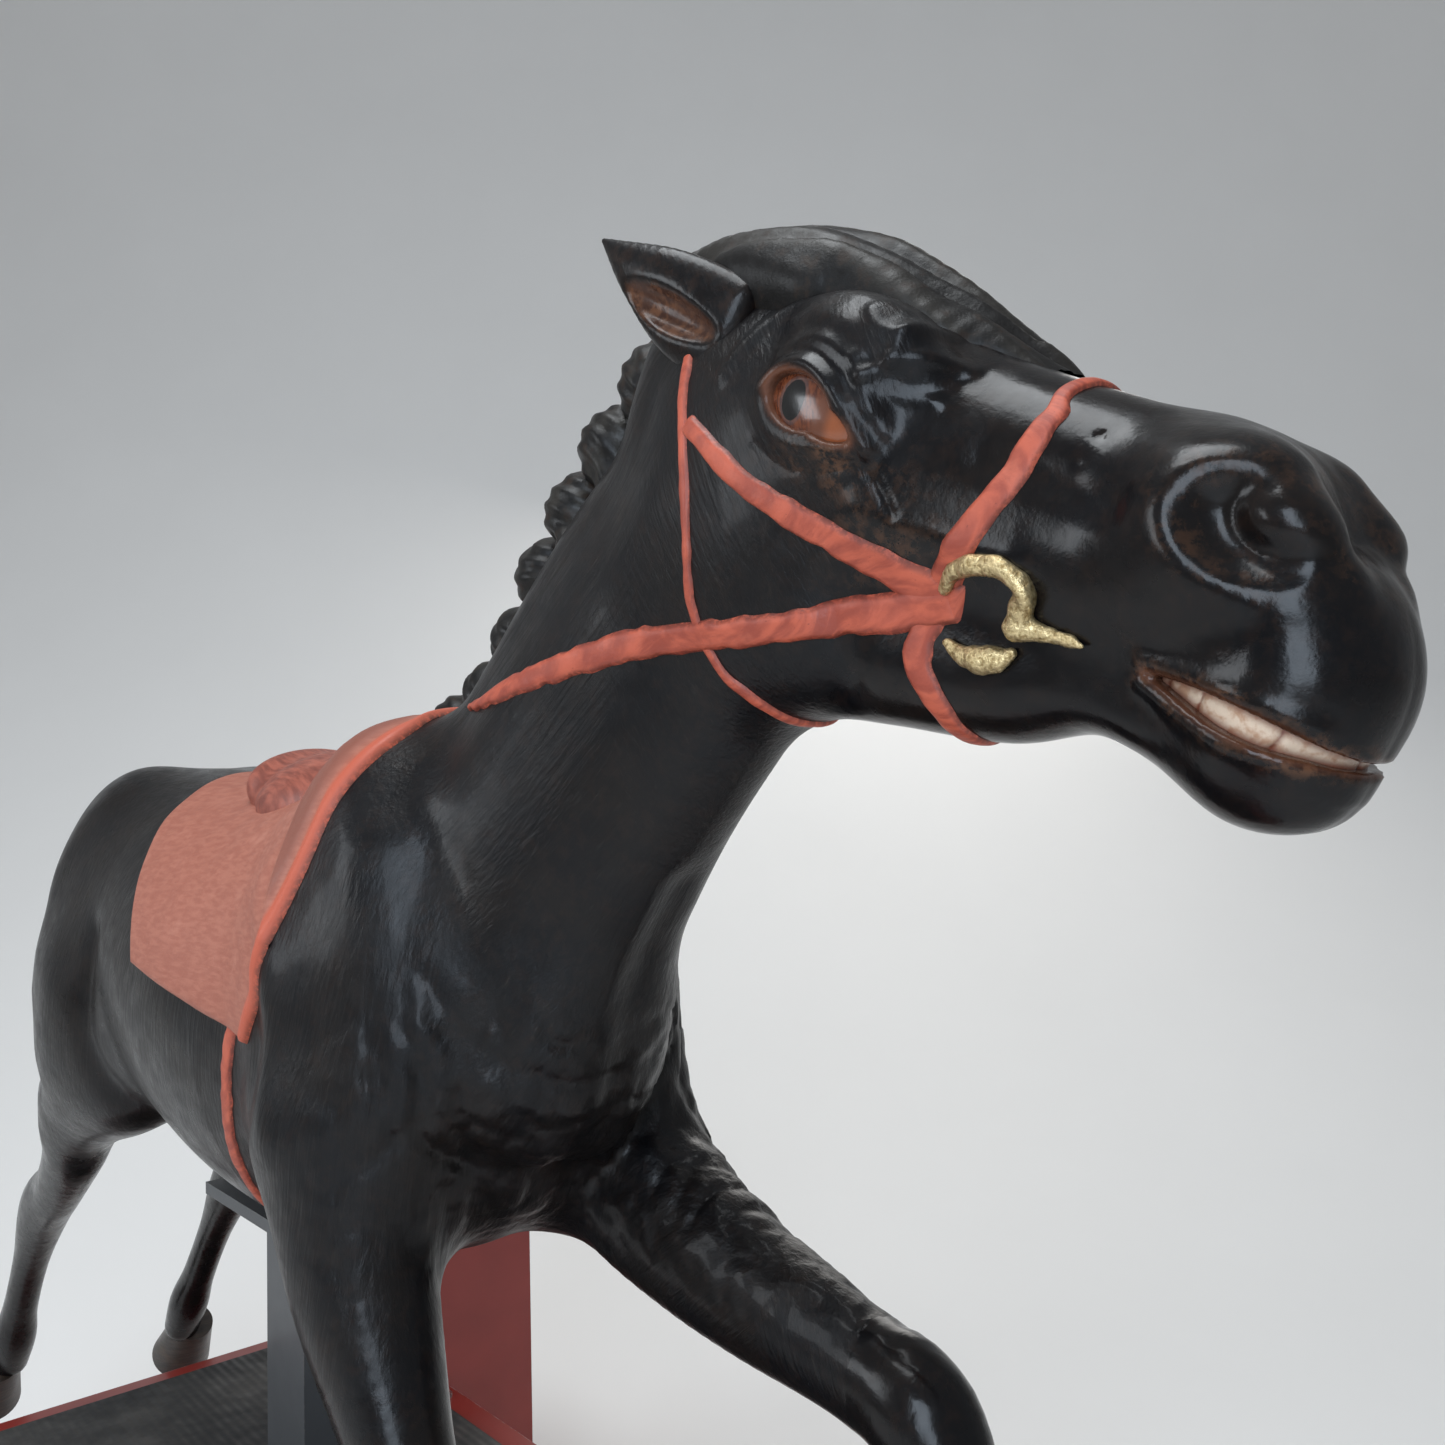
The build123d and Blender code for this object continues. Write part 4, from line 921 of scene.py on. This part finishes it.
def horse():
    """The body, the head and the raised foreleg's end, each on its own grid."""
    for name, low, high, step, end, nodes in (
            ("horse_body", (-.60, -.150, .04), (SEAM_X, .150, .86), BODY_STEP, SEAM_X + BODY_STEP,
             ["torso_shell_left", "torso_shell_right", "foreleg_left", "foreleg_right", "hind_leg_left",
              "hind_leg_right"]),
            ("horse_head", (SEAM_X - OVERLAP, -.075, .52), (.76, .075, .86), HEAD_STEP, 1.0,
             ["neck_head_shell_left", "neck_head_shell_right"]),
            ("horse_foreleg_end", (SEAM_X - OVERLAP, .03, .04), (.60, .12, .50), BODY_STEP, 1.0, [])):
        V, F = surface(horse_field, low, high, step)
        F = F[(V[F, 0] < end).all(1)]
        piece(name, V, F, "horse_black", nodes, marks=horse_marks(V))


EYE_OUT = .0375             # from the middle plane to the eyeball's centre
EYE_RADII = (.0285, .0138, .0185)
IRIS_BACK = .0035           # how far the iris sits behind the eyeball's centre
IRIS_RADII = (.0105, .0130)


def eyes():
    """Two bulging eyes in their sockets."""
    rings, spokes = 24, 48
    centre = np.array(head_point(EYE_S, EYE_N, EYE_OUT))
    axes = turn(pitch=HEAD_TILT + EYE_TURN)
    verts, iris, corner = [], [], []
    for i in range(rings + 1):
        tip = math.pi / 2 * i / rings
        for j in range(spokes):
            a = 2 * math.pi * j / spokes
            local = np.array([math.sin(tip) * math.cos(a), math.cos(tip), math.sin(tip) * math.sin(a)])
            verts.append(centre + (local * EYE_RADII) @ axes)
            along, across = local[0] * EYE_RADII[0], local[2] * EYE_RADII[2]
            iris.append(math.hypot((along + IRIS_BACK) / IRIS_RADII[0], across / IRIS_RADII[1]))
            corner.append(np.clip((along - .0095) / .008, 0, 1))
    faces = []
    for i in range(rings):
        for j in range(spokes):
            k = (j + 1) % spokes
            faces.append([i * spokes + j, i * spokes + k, (i + 1) * spokes + k, (i + 1) * spokes + j])
    left = (np.array(verts), faces, {"iris": iris, "corner": corner})
    V, F, marks = joined([left, other_side(left)])
    piece("painted_eyes", V, F, "eye_brown", ["eyes"], marks=marks)


def head_box(s, n):
    """The corners of a box round the front of the mouth."""
    x, _, z = head_point(s, n)
    return (x, -.040, z - .055), (x + .095, .040, z + .045)


JAW_CENTRE_S = .235         # the teeth stand round this place on the head's axis
GAP_RATE = 5.5              # a gap between teeth every pi / GAP_RATE of turn


def between_teeth(P, width):
    """1 between two teeth and 0 on them, going round the front of the jaw."""
    s, _ = head_axes(P)
    return bump(np.sin(np.arctan2(P[:, 1], s - JAW_CENTRE_S) * GAP_RATE), width)


def teeth():
    """The band of teeth in the open front of the mouth."""
    def field(P):
        band = np.maximum(bare_head(P) + .0042, mouth_gap(*head_axes(P)) - .0030)
        return band + .0008 * between_teeth(P, .10)

    V, F = surface(field, *head_box(.225, -.045), .0010, 2)
    # painted shade: brown towards the lips' edges and in the grooves between teeth
    under_lip_shade = ramp(mouth_gap(*head_axes(V)), -.0030, .0002)
    marks = {"gum_line_and_gap_shade": np.clip(under_lip_shade + .8 * between_teeth(V, .08), 0, 1)}
    piece("painted_teeth", V, F, "tooth_ivory", ["teeth"], marks=marks)


# ---- ears and hair -------------------------------------------------------------------------------
EAR = [(.474, .034, .781, .0225, .0100, .0100), (.459, .041, .794, .0205, .0085, .0085),
       (.446, .045, .806, .0165, .0068, .0068), (.431, .048, .8195, .0095, .0048, .0048),
       (.4160, .050, .8340, .0012, .0016, .0016)]
EAR_WIDE = (.60, -.04, .80)         # the direction across the ear's face


def ear_field(P):
    """Both ears: flat leaves laid back, hollow on the outer face."""
    M = mirrored(P)
    d = tube(M, EAR, EAR_WIDE)
    along = np.array(EAR[3][:3]) - np.array(EAR[1][:3])
    along /= np.linalg.norm(along)
    wide = np.array(EAR_WIDE) - along * (along @ np.array(EAR_WIDE))
    wide /= np.linalg.norm(wide)
    face = np.cross(wide, along)
    face *= np.sign(face[1])
    middle = np.array(EAR[1][:3]) + face * .0115 + along * .008 - wide * .0055
    lean = math.radians(-9)
    long_way = along * math.cos(lean) + wide * math.sin(lean)
    short_way = wide * math.cos(lean) - along * math.sin(lean)
    dig(d, M, middle, (.0360, .0085, .0110), .0040, np.array([long_way, short_way, face]))
    return d


def ear_depth(V):
    """How far each point lies inside the ear's uncut leaf."""
    return -tube(mirrored(V), EAR, EAR_WIDE)


def ears():
    """Both ears, brown in their hollows."""
    V, F = surface(ear_field, (.40, -.075, .76), (.52, .075, .86), .0010)
    hollow = ramp(ear_depth(V), .0005, .0030)
    marks = {"hair": np.full(len(V), .25), "brown": .1 + .9 * hollow, "rim": .35 * hollow,
             "down": np.zeros(len(V)), "face": np.ones(len(V))}
    piece("sculpted_ears", V, F, "horse_black", ["ears"], marks=marks)


FORELOCK = [(-.040, .038, -.004, .026, .014, .024), (-.008, .045, -.002, .036, .022, .026),
            (.028, .051, .000, .038, .0240, .026), (.062, .051, .002, .034, .0205, .026),
            (.096, .048, .004, .026, .0155, .024), (.122, .044, .006, .018, .0120, .022),
            (.148, .038, .008, .012, .0100, .020)]
FORELOCK_TIERS = [[(-.030, -.034), (.020, -.028), (.070, -.016), (.120, .002), (.150, .014)],
                  [(-.034, -.018), (.020, -.014), (.070, -.004), (.120, .009)],
                  [(-.034, .004), (.030, .006), (.090, .014)]]


def forelock_strands(P):
    """From 0 between the forelock's strands to 1 along them."""
    s, _ = head_axes(P)
    flow = P[:, 1] - .30 * np.clip(s, 0, .2) ** 1.5
    return noise(np.stack([s, flow, 0 * s], 1), (.070, .0052, .01), 21)


def forelock_field(P):
    """The hair swept over the forehead, in overlapping tiers."""
    rows = [(*head_point(s, n, y), w, top, below) for s, n, y, w, top, below in FORELOCK]
    s, _ = head_axes(P)
    d = tube(P, rows)
    near = np.abs(d) < .012
    Q, q = P[near], s[near]
    relief = .0034 * (forelock_strands(Q) - .5) + .0045 * (noise(Q, (.030, .016, .030), 22) - .5)
    for line in FORELOCK_TIERS:
        relief -= .0030 * bump(near_line(q, Q[:, 1], line), .0026)
    d[near] -= relief
    return d


def forelock():
    """The hair over the forehead."""
    V, F = surface(forelock_field, (.40, -.060, .74), (.64, .070, .87), .0015)
    piece("sculpted_forelock", V, F, "horse_black", ["forelock"], HAIR,
          marks={"strand_tone_and_groove_shade": forelock_strands(V)})


CREST = [(.402, .792), (.372, .774), (.338, .748), (.306, .720), (.280, .690), (.250, .662), (.214, .645),
         (.172, .636)]
LOCK_STEP = .0400           # from one lock to the next


def mane_locks():
    """Each lock of the mane: (number, centre, size)."""
    line = smooth_rows(CREST, 12)
    run = distance_along(line)
    places = np.arange(.010, run[-1] - .006, LOCK_STEP)
    for i, place in enumerate(places):
        x, z = (np.interp(place, run, line[:, k]) for k in (0, 1))
        yield i, np.array([x, 0, z]), 1 - .25 * place / run[-1]


def mane_field(P):
    """Rolled locks one behind the other, each falling to the right of the crest."""
    d = np.full(len(P), 1.0)
    for i, at, size in mane_locks():
        lean = turn(yaw=18 + 9 * math.sin(i * 2.1), pitch=-38 + 10 * math.sin(i * 1.3), roll=24)
        v = (P - at) @ lean.T
        near = np.linalg.norm(P - at, axis=1) < .06
        if not near.any():
            continue
        v = v[near]
        body = stretched(v[:, 0], v[:, 1], v[:, 2], .0225 * size, .0230 * size, .0215 * size)
        curl = stretched(v[:, 0] + .006, v[:, 1] + .018, v[:, 2] + .020, .0130 * size, .0130, .0210 * size)
        lock = smin(body, curl, .006)
        twist = v[:, 0] + .45 * v[:, 2] + .004 * np.sin(v[:, 1] * 160 + i)
        lock -= .0008 * np.cos(twist * 2 * math.pi / .0105)
        d[near] = smin(d[near], lock, .0025)
    return d


def mane():
    """The row of locks down the neck."""
    V, F = surface(mane_field, (.12, -.060, .56), (.46, .060, .84), .0017)
    strand_tone_and_groove_shade = noise(V, (.004, .012, .012), 31)
    piece("sculpted_mane", V, F, "horse_black", ["mane"], HAIR, marks={"strand_tone_and_groove_shade": strand_tone_and_groove_shade})


TAIL = [(-.262, 0, .540, .016, .018, .020), (-.298, 0, .554, .018, .020, .022),
        (-.330, 0, .562, .020, .020, .022), (-.358, 0, .562, .026, .020, .024),
        (-.386, 0, .540, .030, .020, .024), (-.404, 0, .490, .030, .020, .024),
        (-.412, 0, .430, .026, .018, .022), (-.420, 0, .370, .018, .014, .018),
        (-.428, 0, .325, .008, .007, .008)]


def tail_strands(P):
    """From 0 between the tail's strands to 1 along them."""
    return noise(np.stack([P[:, 2], P[:, 1] + .35 * P[:, 0], P[:, 0]], 1), (.10, .0060, .011), 41)


def tail_field(P):
    """The tail, falling clear of the hind legs in long waved strands."""
    Q = P.copy()
    Q[:, 1] -= .004 * np.sin(Q[:, 2] * 42)
    d = tube(Q, TAIL)
    near = np.abs(d) < .012
    d[near] -= .0034 * (tail_strands(P[near]) - .5)
    return d


def tail():
    """The hanging tail, rooted inside the rump."""
    V, F = surface(tail_field, (-.46, -.045, .29), (-.29, .045, .60), .0022)
    piece("sculpted_tail", V, F, "horse_black", ["tail"], HAIR, marks={"strand_tone_and_groove_shade": tail_strands(V)})


# ---- the tack ------------------------------------------------------------------------------------
def resampled(points, step, closed=False):
    """Points at even steps along a smooth line, and how far along each is."""
    points = [tuple(p) for p in points]
    line = smooth_rows(points[-2:] + points + points[:3], 10)[20:-20] if closed else smooth_rows(points, 10)
    run = distance_along(line[:, :3])
    count = max(4, int(run[-1] / step))
    at = np.linspace(0, run[-1], count, endpoint=not closed)
    return np.stack([np.interp(at, run, line[:, k]) for k in range(line.shape[1])], 1), at


STRAP_STEP = .0022          # distance between a strap's cross rows
SUNK = .0006                # how far the edges of straps and blanket lie under the horse's skin


def strap(rows, thick, closed=False, ragged=.0009, seed=0, columns=10):
    """A strap lying on the horse along rows of (x, y, z, width): its points, faces and marks."""
    line, at = resampled(rows, STRAP_STEP, closed)
    P, N = project(line[:, :3])
    ahead = np.roll(P, -1, 0) - np.roll(P, 1, 0)
    if not closed:
        ahead[0], ahead[-1] = P[1] - P[0], P[-1] - P[-2]
    ahead /= np.linalg.norm(ahead, axis=1)[:, None]
    across = np.cross(N, ahead)
    across /= np.linalg.norm(across, axis=1)[:, None]
    share = np.linspace(-1, 1, columns + 1)
    edge = [noise(np.stack([at, at * 0 + k * 3.1 + seed, at * 0], 1), (.006, 1, 1), seed) - .5
            for k in (0, 1)]
    rough = [ragged * 2 * e for e in edge]
    grid = []
    for c in share:
        push = rough[0] if c < 0 else rough[1]
        out = c * (line[:, 3] / 2 + push)
        grid.append(P + across * out[:, None])
    grid = np.array(grid).transpose(1, 0, 2)
    flat, normal = project(grid.reshape(-1, 3), 4)
    dome = thick * np.sqrt(np.clip(1 - np.abs(share) ** 3.2, 0, 1)) - SUNK
    dome = np.tile(dome, len(P)) + .0003 * (noise(flat, .006, seed + 3) - .5)
    if not closed:
        ends = np.minimum(at, at[-1] - at) / .0025
        dome = dome * np.repeat(np.clip(ends, 0, 1), columns + 1) - SUNK * np.repeat(ends < .5, columns + 1)
    V = flat + normal * dome[:, None]
    marks = {"edge": np.tile(ramp(np.abs(share), .62, .98), len(P))}
    return V, lattice_faces(len(P), columns + 1, closed), marks


def both(rows, thick, **more):
    """A strap on the right side and its mirror image."""
    part = strap(rows, thick, **more)
    return joined([part, other_side(part)])


def loop(rows):
    """A closed run of rows from those on the right side, top first, and their mirror images."""
    left = [(x, -y, z, w) for x, y, z, w in rows[::-1] if abs(y) > 1e-6]
    return list(rows) + left


NOSEBAND = [(*head_point(.1575, .0575, .0), .0075), (*head_point(.1590, .0490, -.022), .0075),
            (.614, -.027, .716, .0090), (.600, -.034, .695, .0115), (.580, -.031, .676, .0135),
            (.563, -.028, .660, .0135), (.556, -.025, .645, .0125), (.561, -.019, .629, .0115),
            (*head_point(.1660, -.0740, .0), .0100)]
CHEEK = [(.467, -.050, .745, .0095), (.482, -.051, .731, .0100), (.500, -.049, .714, .0100),
         (.522, -.043, .697, .0110), (.545, -.034, .681, .0135), (.563, -.028, .669, .0165),
         (.578, -.028, .661, .0150)]
THROAT = [(.446, .000, .812, .0055), (.452, -.028, .800, .0055), (.460, -.042, .780, .0060),
          (.464, -.049, .747, .0062), (.465, -.050, .707, .0055), (.460, -.043, .672, .0055),
          (.466, -.034, .650, .0058), (.475, -.024, .638, .0058), (.483, .000, .628, .0055)]
REIN = [(.576, -.028, .662, .0130), (.553, -.027, .663, .0150), (.528, -.031, .663, .0140),
        (.499, -.038, .662, .0125), (.455, -.041, .663, .0140), (.410, -.043, .663, .0140),
        (.370, -.045, .658, .0130), (.335, -.046, .652, .0110), (.306, -.045, .647, .0075),
        (.285, -.041, .646, .0030)]
GIRTH = [(.158, -.112, .490, .0110), (.146, -.111, .470, .0110), (.134, -.106, .440, .0110),
         (.118, -.096, .402, .0110), (.106, -.070, .364, .0110), (.100, -.036, .346, .0110),
         (.098, .000, .342, .0110)]


def bridle():
    """The painted straps of the bridle, the reins and the girth."""
    for name, node, part in (
            ("painted_noseband", "noseband", strap(loop(NOSEBAND), .0024, closed=True, seed=1)),
            ("painted_cheekpieces", "cheekpieces", both(CHEEK, .0030, seed=2)),
            ("painted_throatlatch", "throatlatch",
             strap(loop(THROAT), .0022, closed=True, ragged=.0006, seed=3, columns=6)),
            ("painted_reins", "reins", both(REIN, .0034, seed=4)),
            ("painted_girth", "girth_strap", strap(over_back(GIRTH), .0024, seed=5))):
        V, F, marks = part
        piece(name, V, F, "tack_terracotta", [node], marks=marks)


BIT_RING = [(.5725, .6665, .0022), (.5755, .6695, .0032), (.5810, .6722, .0036), (.5895, .6732, .0036),
            (.5985, .6708, .0036), (.6040, .6655, .0038), (.6055, .6605, .0042), (.6010, .6550, .0048),
            (.5990, .6505, .0052)]
BIT_TAIL = [(.5990, .6505, .0052), (.6060, .6475, .0036), (.6130, .6450, .0026), (.6210, .6415, .0012)]
BIT_LEAF = [(.5700, .6490, .0022), (.5745, .6445, .0036), (.5825, .6412, .0048), (.5895, .6404, .0042),
            (.5950, .6425, .0022)]


def bit_path(rows):
    """Rows of (x, z, radius) laid on the right cheek, as tube rows standing a little proud of it."""
    line = smooth_rows(rows, 3)
    start = np.stack([line[:, 0], np.full(len(line), -.034), line[:, 1]], 1)
    P, N = project(start)
    P = P + N * .0016
    return [(*p, r, r * .85, r * .85) for p, r in zip(P, line[:, 2])]


def bit():
    """The open rings of the bit with their pointed tails and lower leaves."""
    parts = [bit_path(rows) for rows in (BIT_RING, BIT_TAIL, BIT_LEAF)]

    def field(P):
        d = np.full(len(P), 1.0)
        for rows in parts:
            d = smin(d, tube(P, rows, (0, .1, 1), 1), .0016)
        near = np.abs(d) < .006
        d[near] -= .0016 * (noise(P[near], .0060, 51) - .5) + .0007 * (noise(P[near], .0024, 52) - .5)
        return d

    V, F = surface(field, (.555, -.055, .622), (.640, -.010, .695), .0007)
    right = (V, F.tolist(), {})
    V, F, _ = joined([right, other_side(right)])
    piece("granular_bit", V, F, "bit_gold", ["bit_rings"])


# ---- blanket and saddle --------------------------------------------------------------------------
# the blanket's rear and front edges on the right side, from the bottom corner up to the back
REAR_EDGE = [(.012, -.118, .504), (-.010, -.112, .529), (-.042, -.098, .560), (-.068, -.079, .585),
             (-.086, -.052, .607), (-.098, -.026, .618), (-.104, .000, .622)]
FRONT_EDGE = [(.176, -.111, .476), (.200, -.114, .505), (.216, -.110, .538), (.228, -.099, .568),
              (.234, -.083, .594), (.236, -.055, .617), (.234, .000, .632)]


def sheet_grid(rear, front, down, along):
    """Points on the horse between two edges over its back, row by row, and the normals there."""
    lines = []
    for edge in (rear, front):
        line = smooth_rows(over_back(edge), 10)
        run = distance_along(line)
        at = np.linspace(0, run[-1], down + 1)
        lines.append(np.stack([np.interp(at, run, line[:, k]) for k in range(3)], 1))
    share = np.linspace(0, 1, along + 1)[None, :, None]
    grid = lines[0][:, None] * (1 - share) + lines[1][:, None] * share
    over = 1 - np.abs(np.linspace(-1, 1, down + 1))
    grid[:, :, 2] += .06 * np.sin(np.pi * share[:, :, 0]) * over[:, None]
    return project(grid.reshape(-1, 3), 8)


def saddle_blanket():
    """The blanket, thick at its edges, with a raised roll along its front edge and a low saddle flap behind
    it, painted darker as shade.
    """
    down, along = 170, 150
    flat, normal = sheet_grid(REAR_EDGE, FRONT_EDGE, down, along)
    v = np.abs(np.repeat(np.linspace(-1, 1, down + 1), along + 1))
    grid = flat.reshape(down + 1, along + 1, 3)
    run = np.cumsum(np.linalg.norm(np.diff(grid, axis=1, prepend=grid[:, :1]), axis=2), axis=1)
    front = (run[:, -1:] - run).ravel()                 # metres behind the front edge
    edge = np.minimum.reduce([run.ravel() / .004, front / .004, (1 - v) * 60])
    thick = .0030 * np.sqrt(np.clip(1 - (1 - np.clip(edge, 0, 1)) ** 2, 0, 1)) - SUNK
    foot = ramp(1 - v, .0, .02)
    thick += foot * .0018 * bump(front - .0050, .0040)
    reach = .075 * np.clip(1 - v / .72, 0, 1) ** .7
    # the flap is raised, and the blanket's paint is darker on it as painted shade behind the front roll
    flap_and_shade = ramp(reach - front, -.002, .003) * ramp(front, .012, .018)
    thick += .0018 * flap_and_shade + .0010 * bump(front - reach, .0030) * (v < .72)
    thick += .0012 * (noise(flat, (.03, .03, .05), 61) - .5)
    V = flat + normal * thick[:, None]
    marks = {"edge": ramp(1 - edge, .55, 1.0), "front": ramp(front, .0120, .0095), "flap_and_shade": flap_and_shade}
    piece("draped_blanket", V, lattice_faces(down + 1, along + 1), "blanket_salmon", ["saddle_blanket"],
          marks=marks)


def saddle_field(P):
    """The low seat on the blanket, with its pommel and cantle."""
    d = ball(P, (.062, 0, .596), (.070, .056, .037))
    add(d, P, (.118, 0, .622), (.026, .036, .022), .02)
    add(d, P, (.008, 0, .612), (.024, .046, .024), .02)
    return d


def saddle():
    """The saddle, sunk in the horse so that only its top shows."""
    V, F = surface(saddle_field, (-.05, -.14, .44), (.18, .14, .68), .0026)
    marks = {"edge": np.zeros(len(V))}
    piece("sculpted_saddle", V, F, "saddle_red_brown", ["saddle"], marks=marks)


# ---- the studio ----------------------------------------------------------------------------------
CAMERA_AT, LENS = (.838, -.361, .804), 31.64
YAW, PITCH, ROLL = 138.7, 2.9, -1.3


def camera():
    """The photograph's viewpoint: from the horse's front right, a little above its muzzle."""
    data = bpy.data.cameras.new("camera")
    data.sensor_width, data.lens, data.clip_start = 36, LENS, .02
    made = placed("camera", data)
    bpy.context.scene.camera = made
    yaw, pitch, roll = (math.radians(v) for v in (YAW, PITCH, ROLL))
    ahead = Vector((math.cos(yaw) * math.cos(pitch), math.sin(yaw) * math.cos(pitch), math.sin(pitch)))
    right = Vector((math.sin(yaw), -math.cos(yaw), 0))
    up = right.cross(ahead)
    side = right * math.cos(roll) + up * math.sin(roll)
    top = up * math.cos(roll) - right * math.sin(roll)
    matrix = Matrix((side, top, -ahead)).transposed().to_4x4()
    matrix.translation = CAMERA_AT
    made.matrix_world = matrix


def floor():
    """A pale floor that curves up into a pale wall, square to the camera."""
    rows, half, radius, wall = 40, 9.0, 3.0, 8.0
    verts = []
    for i in range(rows + 1):
        t = i / rows
        bend = min(max((t - .5) / .3, 0), 1) * math.pi / 2
        run = -half + 2 * half * min(t, .5) + radius * math.sin(bend)
        rise = radius * (1 - math.cos(bend)) + max(t - .8, 0) * wall / .2
        verts += [(-run, side * half * 1.6, rise) for side in (-1, 1)]
    made = placed("floor", smooth_mesh("floor", verts, lattice_faces(rows + 1, 2)))
    made.rotation_euler[2] = math.radians(YAW - 180)
    p = Paint("floor", rough=.7)
    made.data.materials.append(p.finish(p.mix(p.noise(3.0), (.80, .79, .77), (.84, .83, .81))))


def sky():
    """Soft, slightly blue light from all round."""
    world = bpy.data.worlds.new("sky")
    world.use_nodes = True
    colour, strength = world.node_tree.nodes["Background"].inputs[:2]
    colour.default_value = (.93, .96, 1.0, 1)
    strength.default_value = .35
    bpy.context.scene.world = world


def lamp(name, at, aim, size, power, colour):
    """A rectangular soft light."""
    data = bpy.data.lights.new(name, "AREA")
    data.shape = "RECTANGLE"
    data.size, data.size_y, data.energy, data.color = *size, power, colour
    made = placed(name, data)
    made.location = at
    made.rotation_euler = (Vector(aim) - Vector(at)).to_track_quat("-Z", "Y").to_euler()


def lights():
    """Window-shaped lights round the horse, and one that washes the wall behind it."""
    lamp("window", (1.35, -1.65, 1.25), (.35, 0, .70), (.8, 1.6), 30, (.74, .86, 1.0))
    lamp("skylight", (.35, -.35, 2.60), (.35, 0, .8), (1.0, 1.0), 24, (.93, .97, 1.0))
    lamp("far_window", (-1.0, -2.2, 1.5), (0, 0, .7), (.9, 1.2), 18, (.90, .95, 1.0))
    lamp("back", (-1.2, 2.0, 1.9), (0, 0, .7), (1.4, 1.4), 18, (1.0, .97, .93))
    lamp("wall_wash", (-3.2, 2.8, 5.2), (-6.0, 5.3, 2.4), (4.0, 4.0), 700, (1.0, 1.0, 1.0))
    bpy.context.scene.view_settings.view_transform = "Standard"


carried_over()
horse()
eyes()
teeth()
ears()
forelock()
mane()
tail()
bridle()
bit()
saddle_blanket()
saddle()
camera()
floor()
sky()
lights()
